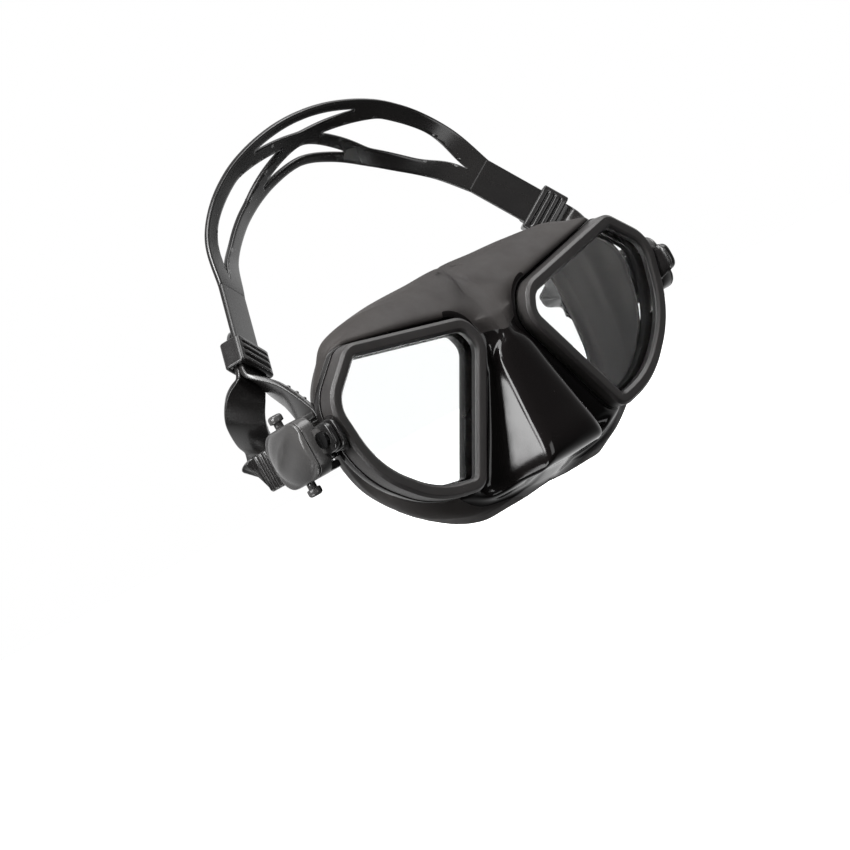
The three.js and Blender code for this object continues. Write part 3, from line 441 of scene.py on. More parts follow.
def brushed_steel(name, dark, light):
    n = Nodes(name)
    brushed = n.noise(900, 3, 0.6, stretch=(1, 1, 0.05))
    base = n.blend_colour(n.remap(brushed, 0.3, 0.7), dark, light)
    n.link(base, n.shader.inputs["Base Color"])
    n.link(n.remap(brushed, 0.3, 0.7, 0.2, 0.38), n.shader.inputs["Roughness"])
    n.bump(brushed, 0.00002, 0.4)
    n.fixed(Metallic=1.0)
    return n.material


def tempered_glass():
    n = Nodes("glass")
    smear = n.noise(25, 3)
    n.link(n.blend_colour(smear, (0.97, 0.99, 0.985), (0.99, 1.0, 1.0)), n.shader.inputs["Base Color"])
    n.link(n.remap(smear, 0.3, 0.7, 0.0, 0.02), n.shader.inputs["Roughness"])
    n.fixed(IOR=1.2, Transmission_Weight=1.0)
    return n.material


SILICONE = skirt_silicone()
FRAME = black_plastic("frame_plastic", (0.014, 0.013, 0.013), 0.16, 0.3)
KEEPER = black_plastic("keeper_plastic", (0.02, 0.019, 0.019), 0.2, 0.32)
BEZEL = bezel_plastic()
GLASS_CLEAR = tempered_glass()
STEEL = brushed_steel("steel", (0.42, 0.42, 0.43), (0.62, 0.62, 0.63))
BLACK_STEEL = brushed_steel("steel_blackened", (0.03, 0.03, 0.031), (0.055, 0.055, 0.056))
STRAP = moulded("strap_silicone", (30, 4), ((0.011, 0.0105, 0.0105), (0.018, 0.017, 0.0165)),
                (500, 0.74, (0.04, 0.038, 0.037)), (50, 2, 0.2, 0.3), (40, 1, 0.00005, 0.1),
                IOR=1.45, Coat_Weight=0.3, Coat_Roughness=0.15)
BUCKLE = moulded("buckle_plastic", (55, 4), ((0.050, 0.049, 0.049), (0.068, 0.066, 0.065)),
                 (800, 0.7, (0.14, 0.135, 0.13)), (130, 4, 0.18, 0.26), (1400, 2, 0.00003, 0.5),
                 yoke=(0.013, 0.0125, 0.0125), IOR=1.5)


# ---- skirt sheet ----
def nose_panel_half(z):
    return NOSE_TOP_HALF + (NOSE_TIP_HALF - NOSE_TOP_HALF) * (z - NOSE_TOP_Z) / (NOSE_TIP_Z - NOSE_TOP_Z)


def nose_wall(share, depth):
    """Valley beside the bezel, then both sides of the edge between side wall and nose panel."""

    def place(bead, end):
        half = nose_panel_half(end[2])
        valley = mix(bead, V(half, bead[1], end[2]), share)
        valley[1] = bead[1] + depth
        side, panel = V(half + 1.8, end[1] + 4, end[2] - 0.8), V(half - 2.6, end[1] + 0.5, end[2] - 0.2)
        edge = V(half + 0.6, end[1] + 1.2, end[2] - 0.4)
        return [valley, side, mix(edge, side, 0.3), mix(edge, panel, 0.25), panel]

    return place


def wall(*offsets):
    def place(bead, end):
        first, second, third = (mix(bead, end, share) + V(x, y, z) for share, x, y, z in offsets)
        return [first, second, mix(second, third, 0.4), mix(second, third, 0.7), third]

    return place


# at, where the wall ends, how high the bead hugs the bezel, and the three points between
STATIONS = [
    (0, V(0, 12, 29.5), 1, wall((0.2, 0, 0, 1), (0.5, 0, -1, 1), (0.8, 0, -1, 0.5))),
    (0.25, V(0, 4.5, 19), 1, wall((0.2, 0, -0.5, 0.5), (0.5, 0, -0.6, 0), (0.8, 0, 0, 0))),
    (0.5, V(0, -0.5, 10.5), 1, wall((0.2, 0, -0.6, 0), (0.5, 0, -0.6, 0), (0.8, 0, 0, 0))),
    (1, V(0, -3, 4), 1, wall((0.2, 0, -0.6, 0), (0.5, 0, -0.6, 0), (0.8, 0, -0.2, 0))),
    (1.25, V(0, -4, -1), 1, wall((0.2, 0, 0, 0), (0.5, 0, -0.4, 0), (0.75, 0, -0.2, 0))),
    (1.5, V(0, -4.6, NOSE_TOP_Z), 1, nose_wall(0.2, -1)),
    (1.68, V(0, -5.6, -17), 1, nose_wall(0.25, 1.5)),
    (1.85, V(0, -7, -30), 0.9, nose_wall(0.3, 3)),
    (2, V(0, -8, NOSE_TIP_Z), 0.8, nose_wall(0.3, 4.5)),
    (2.17, V(0, -5.5, -45.5), 0.7, nose_wall(0.3, 4.5)),
    (2.33, V(0, 3, -47.5), 0.6, wall((0.25, 0, 3, -2.5), (0.55, 0, -1, -1.5), (0.8, 0, -1, 0))),
    (2.5, V(0, 14, -50.5), 0.5, wall((0.25, 0, 1.5, -3), (0.55, 0, 0, -1.5), (0.8, 0, -1, 0))),
    (2.75, V(19, 16, -51.5), 0.4, wall((0.25, 0, 1, -3), (0.55, 0, 0, -2), (0.85, 0, -1, -0.3))),
    (3.25, V(35, 20, -50), 0.2, wall((0.25, 1, 1, -1), (0.55, 1, 0, -1), (0.85, 0, -0.6, -0.3))),
    (3.75, V(50, 24.5, -40), 0, wall((0.25, 1, 1, -1), (0.55, 1.5, 0, -1), (0.85, 0.6, 0, -0.5))),
    (4.25, V(61.5, 28, -24), 0, wall((0.25, 0, 1, 0), (0.55, 1.5, 0, -1), (0.85, 0.6, 0, -0.3))),
    (4.75, V(65, 28.5, -6), 0, wall((0.25, -0.5, 0, 0), (0.55, 1, 0, 0), (0.85, 0.6, 0, 0))),
    (5.25, V(64, 27, 9), 0, wall((0.25, -0.5, 0, 0), (0.55, 1, 0, 1), (0.85, 0.6, 0, 0.4))),
    (5.75, V(58, 23, 19.5), 0.1, wall((0.25, 0, 0, 0), (0.55, 1, 0, 1.5), (0.85, 0.4, 0, 0.5))),
    (6.25, V(49.5, 18.5, 26), 0.3, wall((0.25, 0, 0, 0.5), (0.55, 0.5, 0, 2), (0.85, 0.2, 0, 0.8))),
    (6.6, V(35, 14.5, 29.2), 0.8, wall((0.25, 0, -0.5, 1), (0.55, 0, -1, 2), (0.85, 0, -0.5, 0.8))),
    (6.85, V(17, 12.5, 29.5), 1, wall((0.22, 0, -0.5, 1), (0.52, 0, -1, 1.5), (0.82, 0, -1, 0.7))),
]
BOTTOM_MID = 2.5
FLAT_MID = 0.7  # how squarely the wall meets the mid plane
TUCK = {4.25: 0.7, 4.75: 1, 5.25: 1, 5.75: 0.5}  # where the wall passes inside the buckles
TUCK_INSET = 6.2
TUCK_SPREAD = 0.08
STATION_AT = np.array([s[0] for s in STATIONS], dtype=float)


def between(at, values):
    """Catmull-Rom values between the stations, going round the lens."""
    values = np.asarray(values, dtype=float)
    total, count = len(OUTLINE), len(STATIONS)
    out = np.empty((len(at),) + values.shape[1:])

    def knot(k):
        return STATION_AT[k % count] + total * (k // count)

    for i, a in enumerate(at):
        last = int(np.searchsorted(STATION_AT, a + 1e-6, side="right") - 1)
        k = [knot(last + d) for d in (-1, 0, 1, 2)]
        v = [values[(last + d) % count] for d in (-1, 0, 1, 2)]
        before, span, after = k[1] - k[0], k[2] - k[1], k[3] - k[2]
        t = (a - k[1]) / span
        m0 = ((v[1] - v[0]) / before * span + (v[2] - v[1]) / span * before) / (before + span) * span
        m1 = ((v[2] - v[1]) / span * after + (v[3] - v[2]) / after * span) / (span + after) * span
        t2, t3 = t * t, t * t * t
        out[i] = (v[1] * (2 * t3 - 3 * t2 + 1) + m0 * (t3 - 2 * t2 + t)
                  + v[2] * (3 * t2 - 2 * t3) + m1 * (t3 - t2))
    return out


def soft_polyline(control, places):
    """Clamped quadratic B-spline through control points, at places from 0 to 1."""
    control = np.asarray(control, dtype=float)
    spans = len(control) - 2
    joints = np.vstack([control[:1], (control[1:-2] + control[2:-1]) / 2, control[-1:]])
    s = np.asarray(places) * spans
    k = np.minimum(s.astype(int), spans - 1)
    t = (s - k)[:, None]
    start, middle, end = joints[k], control[k + 1], joints[k + 1]
    return (1 - t) ** 2 * start + 2 * t * (1 - t) * middle + t * t * end


CARRIER_FRONT = -GLASS - SEAT_GAP
CARRIER_BACK = CARRIER_FRONT - CARRIER
FLANGE_FRONT = CARRIER_BACK - SEAT_GAP
BEAD_SECTION = [
    ((BEZEL_WIDTH, 0), (BEZEL_WIDTH, 0)),
    ((2.4, 0), (-0.6, 0)),
    ((1.2, -0.3), (-0.9, BEAD_HEIGHT * 0.8)),
    ((0.4, -0.9), (-1.3, BEAD_HEIGHT)),
    ((0, -2), (-3.2, BEAD_HEIGHT)),
]


def bead_points(index, lift, tuck):
    out = []
    for low, high in BEAD_SECTION:
        inset = low[0] + (high[0] - low[0]) * lift
        inset += (TUCK_INSET + low[0] * TUCK_SPREAD - inset) * tuck
        u, v, _ = lens_outline(inset)[index]
        out.append(on_plane(u, v, FLANGE_FRONT + low[1] + (high[1] - low[1]) * lift))
    return out


def skirt_columns():
    """Control points of the sheet at each point of the lens outline."""
    at = lens_outline(0)[:, 2]
    vias, lifts, ends = [], [], []
    for place, end, lift, via in STATIONS:
        nearest = int(np.argmin(np.abs(at - place)))
        tuck = TUCK.get(place, 0)
        vias.append(via(bead_points(nearest, lift, tuck)[-1], end))
        lifts.append((lift, tuck))
        ends.append(end)
    lift, tuck = np.clip(between(at, np.array(lifts)), 0, 1).T
    along = between(at, vias)
    end = between(at, ends)
    middle = at <= BOTTOM_MID
    end[middle, 0] = 0
    along[middle, -1, 1:] = mix(along[middle, -1, 1:], end[middle, 1:], FLAT_MID)
    columns = []
    for i in range(len(at)):
        columns.append(np.vstack([bead_points(i, lift[i], tuck[i]), along[i], end[i][None]]))
    return at, np.array(columns)


WALL_STEPS = 60
LIP_STEPS = 16


def seal_lips(columns, rear, scale=1.0, roll=1.0):
    """The seal rolls over at the wall's rear edge and turns in towards the face."""
    edge = columns[rear][:, -1]
    out = []
    places = np.linspace(0, 1, LIP_STEPS + 1)
    for k, i in enumerate(rear):
        here = edge[k]
        at_mid = k in (0, len(rear) - 1)
        tangent = V(1, 0, 0) if at_mid else unit(edge[min(k + 1, len(edge) - 1)] - edge[k - 1])

        def square(v):
            return unit(v - tangent * (v @ tangent))

        onward = square(here - columns[i][-2])
        inward = V(-here[0], 3, SEAL_CENTRE[2] - here[2])
        inward = square(inward)

        def step(along, across):
            return here + onward * along * SEAL_ROLL * roll + inward * across

        out.append(soft_polyline([here, step(0.6, 0), step(1, 1.2), step(0.9, SEAL_LIP * 0.5 * scale),
                                  step(0.2, SEAL_LIP * scale)], places))
    return np.array(out)


def vertex_normals(points, faces):
    normals = np.zeros_like(points)
    quads = np.array([f if len(f) == 4 else list(f) + [f[-1]] for f in faces])
    a, b, c, d = (points[quads[:, k]] for k in range(4))
    n = np.cross(c - a, d - b)
    for k in range(4):
        np.add.at(normals, quads[:, k], n)
    return normals / np.maximum(np.linalg.norm(normals, axis=1, keepdims=True), 1e-12)


def thickened(points, walls, faces, extra=None):
    """Mirrors a half sheet, welds it on the mid plane and adds each point's wall on the inner side."""
    both = np.vstack([points, mirrored(points)])
    keys = np.round(both * 1e3).astype(np.int64)
    _, first, index = np.unique(keys, axis=0, return_index=True, return_inverse=True)
    index = index.reshape(-1)
    merged = both[first]
    wall_of = np.tile(walls, 2)[first]
    count = len(points)
    out = []
    for f in faces:
        for ids in (index[list(f)], index[[v + count for v in reversed(f)]]):
            ids = list(dict.fromkeys(ids.tolist()))
            if len(ids) > 2:
                out.append(ids)
    normals = vertex_normals(merged, out)
    inner = merged + normals * wall_of[:, None]
    offset = len(merged)
    edges = {}
    for f in out:
        for p, q in zip(f, f[1:] + f[:1]):
            edges[(p, q)] = True
    rim = [(p, q) for p, q in edges if (q, p) not in edges]
    shell = out + [[v + offset for v in reversed(f)] for f in out]
    shell += [[q, p, p + offset, q + offset] for p, q in rim]
    attributes = {}
    for key, values in (extra or {}).items():
        half = np.tile(values, 2)[first]
        attributes[key] = np.concatenate([half, half])
    return np.vstack([merged, inner]), shell, attributes


def skirt():
    at, columns = skirt_columns()
    places = np.linspace(0, 1, WALL_STEPS + 1)
    rows = np.array([soft_polyline(c, places) for c in columns])
    count = len(rows)
    walls = BEAD_WALL + (SKIRT_WALL - BEAD_WALL) * smoothstep(places, 0.5, 0.8)
    points = rows.reshape(-1, 3)
    thickness = np.tile(walls, count)
    faces = grid_faces(count, WALL_STEPS + 1, True, False)
    nose = smoothstep(at, 1.12, 1.2) * (1 - smoothstep(at, 2.62, 2.68))
    gloss = nose[:, None] * np.ones(len(places))
    lip = (1 - smoothstep(at, 1.2, 1.3))[:, None] * (1 - smoothstep(places, 0.36, 0.4))
    gloss = np.maximum(gloss, lip).reshape(-1)
    rear = [i for i in range(count) if at[i] >= BOTTOM_MID] + [0]
    lips = seal_lips(columns, rear)
    start = len(points)
    lip_points = lips[:, 1:].reshape(-1, 3)
    ids = np.empty((len(rear), LIP_STEPS + 1), dtype=int)
    for k, i in enumerate(rear):
        ids[k, 0] = i * (WALL_STEPS + 1) + WALL_STEPS
        ids[k, 1:] = start + k * LIP_STEPS + np.arange(LIP_STEPS)
    for k in range(len(rear) - 1):
        for j in range(LIP_STEPS):
            faces.append([ids[k, j], ids[k + 1, j], ids[k + 1, j + 1], ids[k, j + 1]])
    points = np.vstack([points, lip_points])
    thickness = np.concatenate([thickness, np.tile(
        SKIRT_WALL + (LIP_EDGE - SKIRT_WALL) * np.arange(1, LIP_STEPS + 1) / LIP_STEPS, len(rear))])
    gloss = np.concatenate([gloss, np.zeros(len(lip_points))])
    shell = thickened(points, thickness, faces, {"gloss": gloss})
    return piece("skirt_moulding", shell[0], shell[1], SILICONE, "mask", ["skirt"],
                 shell[2])


# ---- lenses, bezels and frame ----
def bezels():
    section = rounded_polygon([
        (0, -GLASS, 0.3), (BEZEL_WALL, -GLASS, 0), (BEZEL_WALL, SEAT_GAP, 0),
        (BEZEL_WIDTH, SEAT_GAP, 0.1), (BEZEL_WIDTH, BEZEL_FRONT - 1.2, 0.5),
        (3.6, BEZEL_FRONT - 0.1, 0.5), (1.0, BEZEL_FRONT, 0.4), (0, BEZEL_FRONT - 1.1, 0.4),
    ], 4)
    points, faces = lens_ring(section)
    # marks the inner wall, which the bezel material colours near black as painted shade
    inner = np.tile((section[:, 0] > BEZEL_WIDTH - 0.35).astype(float), len(points) // len(section))
    pair("bezel_ring", (points, faces), BEZEL, "mask", "bezel", {"inner": inner})


def lenses():
    edge = 0.35
    inset = BEZEL_WALL + SEAT_GAP
    levels = [(inset + edge, 0), (inset, -edge), (inset, edge - GLASS), (inset + edge, -GLASS)]
    loops = []
    for d, w in levels:
        outline = lens_outline(d)
        loops.append(on_plane(outline[:, 0], outline[:, 1], np.full(len(outline), w)))
    points = np.vstack(loops)
    count = len(loops[0])
    faces = []
    for low in range(0, (len(levels) - 1) * count, count):
        high = low + count
        for i in range(count):
            n = (i + 1) % count
            faces.append([low + i, low + n, high + n, high + i])
    faces.append(list(range(count)))
    faces.append(list(range(len(points)))[-count:][::-1])
    for obj in pair("lens_glass", (points, faces), GLASS_CLEAR, "mask", "lens"):
        obj.data.polygons.foreach_set("use_smooth", [False] * len(obj.data.polygons))


def merged_mesh(*parts):
    """Several meshes' points and faces as one."""
    points, faces, start = [], [], 0
    for p, f in parts:
        points.append(np.asarray(p))
        faces += [[v + start for v in face] for face in f]
        start += len(p)
    return np.vstack(points), faces


def loft(sections):
    """Closed loops of equal length skinned into one closed body."""
    sections = [np.asarray(s) for s in sections]
    count = len(sections[0])
    points = np.vstack(sections)
    faces = grid_faces(len(sections), count, False, True)
    faces.append(list(range(count))[::-1])
    faces.append(list(range(len(points)))[-count:])
    return points, faces


def super_loop(centre, a, b, half_a, half_b, power=4.0, steps=48):
    """A rounded rectangular loop (superellipse) in the plane of a and b."""
    t = np.linspace(0, 2 * math.pi, steps, endpoint=False)
    c, s = np.cos(t), np.sin(t)
    x = np.sign(c) * np.abs(c) ** (2 / power) * half_a
    y = np.sign(s) * np.abs(s) ** (2 / power) * half_b
    return centre + x[:, None] * a + y[:, None] * b


def carrier():
    ring = lens_ring(rounded_polygon([
        (-CARRIER_PROUD, CARRIER_BACK, 0.3), (CARRIER_LEDGE, CARRIER_BACK, 0.2),
        (CARRIER_LEDGE, CARRIER_FRONT, 0.2), (-CARRIER_PROUD, CARRIER_FRONT, 0.3)], 3))
    root = on_plane(LENS_OUTER - 1.5, PIVOT[2], CARRIER_BACK + 0.2)
    across, up = V(0, 1, 0), V(0, 0, 1)
    lug = loft([super_loop(V(root[0] + dx, PIVOT[1] + dy, PIVOT[2]), across, up, hy, hz, 3.4)
                for dx, dy, hy, hz in (
                    (-1.5, 1.0, 1.2, 6.4), (0.5, 0.6, 2.6, 6.3), (2.0, 0.2, 4.4, 5.6), (3.6, 0, 5.2, 5.2),
                    (PIVOT[0] - root[0] - 0.7, 0, 5.4, 5.4), (PIVOT[0] - root[0] - 0.15, 0, 5.2, 5.2),
                    (PIVOT[0] - root[0], 0, 4.8, 4.8))])
    bar_y = on_plane(-LENS_INNER, 0, (CARRIER_FRONT + CARRIER_BACK) / 2)[1]
    half = on_plane(-LENS_INNER, 0, 0)[0] + 4
    bar = loft([super_loop(V(x, bar_y, 2.5), across, up, 1.1, 4.4, 5) for x in np.linspace(-half, half, 5)])
    points, faces = merged_mesh(ring, mirror_mesh(ring), lug, mirror_mesh(lug), bar)
    return piece("frame_carrier", points, faces, FRAME, "mask", ["carrier_frame"])


# ---- the strap ----
TRAY_FACE = PIVOT[0] + SEAT_GAP
WRAP_RADIUS = ROLLER_RADIUS + SEAT_GAP
ROLLER_X = TRAY_FACE - 0.3 - RIB_HEIGHT - STRAP_THICKNESS - WRAP_RADIUS
ROLLER_Y = BUCKLE_FRONT + ROLLER_BACK
OUTER_RUN_X = ROLLER_X + WRAP_RADIUS + STRAP_THICKNESS / 2
INNER_RUN_X = ROLLER_X - WRAP_RADIUS - STRAP_THICKNESS / 2
RUN_END = BUCKLE_FRONT + BUCKLE_LENGTH + FREE_RUN
STRAP_DOWN = unit(KEEPER_CENTRE - SPLIT_POINT)
STRAP_OUT = unit(KEEPER_FACING - STRAP_DOWN * (KEEPER_FACING @ STRAP_DOWN))
STRAP_ACROSS = -np.cross(STRAP_OUT, STRAP_DOWN)
LAYER_SHIFT = (STRAP_THICKNESS + LAYER_GAP) / 2
TONGUE = 3.5


class Curve:
    """Centripetal Catmull-Rom curve through points, read by arc length or by key count."""

    def __init__(self, points, fine=40):
        p = np.array(points, dtype=float)
        p = np.vstack([2 * p[0] - p[1], p, 2 * p[-1] - p[-2]])
        out, keys = [], []
        for k in range(1, len(p) - 2):
            quad = p[k - 1:k + 3]
            t = [0.0]
            for a, b in zip(quad[:-1], quad[1:]):
                t.append(t[-1] + max(np.linalg.norm(b - a), 1e-6) ** 0.5)
            last = k == len(p) - 3
            for s in np.linspace(0, 1, fine + 1)[:fine + 1 if last else fine]:
                x = t[1] + (t[2] - t[1]) * s
                a1, a2, a3 = (mix(quad[m], quad[m + 1], (x - t[m]) / (t[m + 1] - t[m])) for m in range(3))
                b1 = mix(a1, a2, (x - t[0]) / (t[2] - t[0]))
                b2 = mix(a2, a3, (x - t[1]) / (t[3] - t[1]))
                out.append(mix(b1, b2, (x - t[1]) / (t[2] - t[1])))
                keys.append(k - 1 + s)
        self.points = np.array(out)
        self.keys = np.array(keys)
        steps = np.linalg.norm(np.diff(self.points, axis=0), axis=1)
        self.lengths = np.concatenate([[0], np.cumsum(steps)])
        self.length = self.lengths[-1]

    def at_length(self, d):
        d = np.asarray(d)
        p = np.stack([np.interp(d, self.lengths, self.points[:, k]) for k in range(3)], axis=-1)
        return p, np.interp(d, self.lengths, self.keys)

    def at_key(self, key):
        return np.stack([np.interp(key, self.keys, self.points[:, k]) for k in range(3)], axis=-1)


def tail_keys():
    """Keys of the tail's centre line, the width direction at each, and whether ribs stand there."""
    reach = np.linalg.norm(SPLIT_POINT - KEEPER_CENTRE)
    straight = KEEPER_LENGTH / 2 + KEEPER_TRAVEL + 1

    def layer(d, shift):
        return KEEPER_CENTRE + STRAP_DOWN * d + STRAP_OUT * shift

    keys = [(layer(-reach, -LAYER_SHIFT), STRAP_ACROSS, 0)]
    keys += [(layer(k * straight, -LAYER_SHIFT), STRAP_ACROSS, 0) for k in (-1.4, -1, -0.5, 0, 0.5, 1)]
    keys.append((V(INNER_RUN_X - 0.6, ROLLER_Y + 9.5, 15.5), V(0.4, -0.6, 0.68), 1))
    keys.append((V(INNER_RUN_X - 1.2, ROLLER_Y + 4.6, 5), V(0.08, -0.5, 0.86), 1))
    keys.append((V(INNER_RUN_X - 0.5, ROLLER_Y + 2.4, PIVOT[2] + 1.6), V(0, -0.3, 0.95), 0))
    radius = WRAP_RADIUS + STRAP_THICKNESS / 2
    upright = V(0, 0, 1)
    half_turn = np.linspace(0, math.pi, 7)
    for a in half_turn:
        place = V(ROLLER_X - radius * math.cos(a), ROLLER_Y - radius * math.sin(a), PIVOT[2])
        keys.append((place, upright, 0))
    keys.append((V(OUTER_RUN_X, ROLLER_Y + 7, PIVOT[2]), upright, 1))
    fold_start = V(OUTER_RUN_X, RUN_END, PIVOT[2])
    axis = V(0, math.cos(FOLD_ANGLE), math.sin(FOLD_ANGLE))
    over = V(0, math.sin(FOLD_ANGLE), -math.cos(FOLD_ANGLE))
    advance = FOLD_RADIUS / math.tan(FOLD_ANGLE)
    for a in half_turn:
        rolled = over * math.cos(a) + V(-math.sin(a), 0, 0)
        place = (fold_start + V(-FOLD_RADIUS * (1 - math.cos(a)), 0, 0) + over * FOLD_RADIUS * math.sin(a)
                 + axis * advance * a)
        keys.append((place, axis * math.sin(FOLD_ANGLE) - rolled * math.cos(FOLD_ANGLE), 1))
    keys.append((V(80, 41, 15), V(0.69, 0.54, 0.48), 0))
    keys.append((V(80, 35, 21), V(0.74, 0.1, 0.55), 0))
    keys += [(layer(k * straight, LAYER_SHIFT), STRAP_ACROSS, 0) for k in (1, 0.5, 0, -0.5, -1, -1.4)]
    return keys


def strap_section(half):
    """Rounded rectangle across the strap: width, then thickness."""
    thick, corner = STRAP_THICKNESS / 2, 0.5
    return rounded_polygon([(-half, -thick, corner), (half, -thick, corner), (half, thick, corner),
                            (-half, thick, corner)], 4)


def frames_along(points, widths):
    """Width directions made square to the line of points, and the ribbed side's direction."""
    tangents = np.gradient(points, axis=0)
    tangents /= np.linalg.norm(tangents, axis=1, keepdims=True)
    w = widths - tangents * np.sum(widths * tangents, axis=1, keepdims=True)
    w /= np.linalg.norm(w, axis=1, keepdims=True)
    return w, np.cross(tangents, w)


def tail():
    """One end of the strap, from its split through the keeper and round the roller to its end."""
    keys = tail_keys()
    curve = Curve([k[0] for k in keys])
    step = 0.25
    distances = np.arange(0, curve.length, step)
    points, at = curve.at_length(distances)
    # its start is drawn back into the rear sheet
    tongue = np.clip(1 - distances / (2 * step), 0, 1)
    points = points - STRAP_DOWN * (TONGUE * tongue)[:, None]
    k = np.minimum(at.astype(int), len(keys) - 2)
    t = (at - k)[:, None]
    wide = np.array([key[1] for key in keys])
    ribbed = np.array([key[2] for key in keys])[k]
    w, n = frames_along(points, wide[k] * (1 - t) + wide[k + 1] * t)
    phase = np.mod(distances, RIB_PITCH) / RIB_WIDTH
    rise = np.clip(1.35 * np.sin(np.pi * np.clip(phase, 0, 1)), 0, 1) * RIB_HEIGHT * ribbed
    end_fade = np.sqrt(np.clip((curve.length - distances) / 5, 0, 1))
    sections = []
    for i in range(len(points)):
        half = (STRAP_WIDTH / 2) * (0.35 + 0.65 * end_fade[i])
        profile = strap_section(half)
        top = profile[:, 1] > 0
        inset = np.clip((half - np.abs(profile[:, 0])) / 0.8, 0, 1)
        profile[top, 1] += rise[i] * (0.25 + 0.75 * inset[top])
        # extra points across the top so that the ribs stop short of the edges
        across = np.linspace(half - 1.0, 1.0 - half, 5)
        crest = np.stack([across, np.full(len(across), STRAP_THICKNESS / 2 + rise[i])], 1)
        first_top = len(profile) // 2 + 5
        body = np.vstack([profile[:first_top], crest, profile[first_top:]])
        sections.append(points[i] + body[:, :1] * w[i] + body[:, 1:] * n[i])
    return loft(sections)


REAR_SPAN = len(REAR_ROUTE)


def rear_curve():
    left = [SPLIT_POINT - STRAP_OUT * LAYER_SHIFT] + [np.array(p, dtype=float) for p in REAR_ROUTE]
    right = [mirrored(p[None])[0] for p in left[:-1]][::-1]
    return Curve(left + right, fine=60)


def rear_sheet_points(s, q, frames):
    """Points of the rear sheet at s along it and q across it, from -1 to 1."""
    keys, points, w = frames
    p = np.stack([np.interp(s, keys, points[:, k]) for k in range(3)], axis=-1)
    across = np.stack([np.interp(s, keys, w[:, k]) for k in range(3)], axis=-1)
    half = np.minimum(s, 2 * REAR_SPAN - s)
    width = np.interp(half, np.arange(REAR_SPAN + 1), REAR_HALF_WIDTHS)
    # widths change smoothly between the route's points
    soft = sum(np.interp(np.clip(half + d, 0, REAR_SPAN), np.arange(REAR_SPAN + 1), REAR_HALF_WIDTHS)
               for d in (-0.4, -0.2, 0.2, 0.4)) / 4
    ends = smoothstep(half, 0.2, 0.9)
    width = width * (1 - ends) + soft * ends
    return p + across * (width * q)[:, None]


def smooth_loop(loop, rounds=3):
    for _ in range(rounds):
        loop = (np.roll(loop, 1, axis=0) + 2 * loop + np.roll(loop, -1, axis=0)) / 4
    return loop


def strap_openings():
    """Loops in s and q: two long openings, and the slivers above and below the crossing arms."""
    end = 2 * REAR_SPAN
    arm_reach, arm_half, rim = 1.3, 0.2, 0.66
    spread = 0.5 / arm_reach
    loops = []
    s = np.linspace(0.3, REAR_SPAN - arm_half / spread, 70)
    opened = 0.46 * smoothstep(s, 0.25, 1.4)
    between_arms = spread * (REAR_SPAN - s) - arm_half
    wide = np.minimum(opened, np.maximum(between_arms, 0))
    for _ in range(6):
        wide[1:-1] = (wide[:-2] + 2 * wide[1:-1] + wide[2:]) / 4
    left = np.vstack([np.stack([s, wide], 1), np.stack([s[::-1], -wide[::-1]], 1)[1:-1]])
    loops.append(left)
    loops.append(np.stack([end - left[:, 0], left[:, 1]], 1))
    reach = (rim - arm_half) / spread
    s = np.linspace(REAR_SPAN - reach, REAR_SPAN + reach, 61)
    low = arm_half + spread * np.sqrt((REAR_SPAN - s) ** 2 + 0.02)
    top = np.full(len(s), rim + 0.02)
    low = np.minimum(low, top)
    for side in (1, -1):
        loop = np.vstack([np.stack([s, top], 1), np.stack([s[::-1], low[::-1]], 1)[1:-1]])
        loop[:, 1] *= side
        loops.append(smooth_loop(loop, 2))
    return loops


def inside_loop(points, loop):
    x, y = points[:, 0][:, None], points[:, 1][:, None]
    x0, y0 = loop[:, 0][None], loop[:, 1][None]
    x1, y1 = np.roll(loop[:, 0], -1)[None], np.roll(loop[:, 1], -1)[None]
    crosses = (y0 > y) != (y1 > y)
    span = np.where(np.abs(y1 - y0) < 1e-12, 1e-12, y1 - y0)
    return (np.sum(crosses & (x < (x1 - x0) * (y - y0) / span + x0), axis=1) % 2).astype(bool)


CELL_GAP = 0.55  # from the sheet's inner points to the rims of its openings


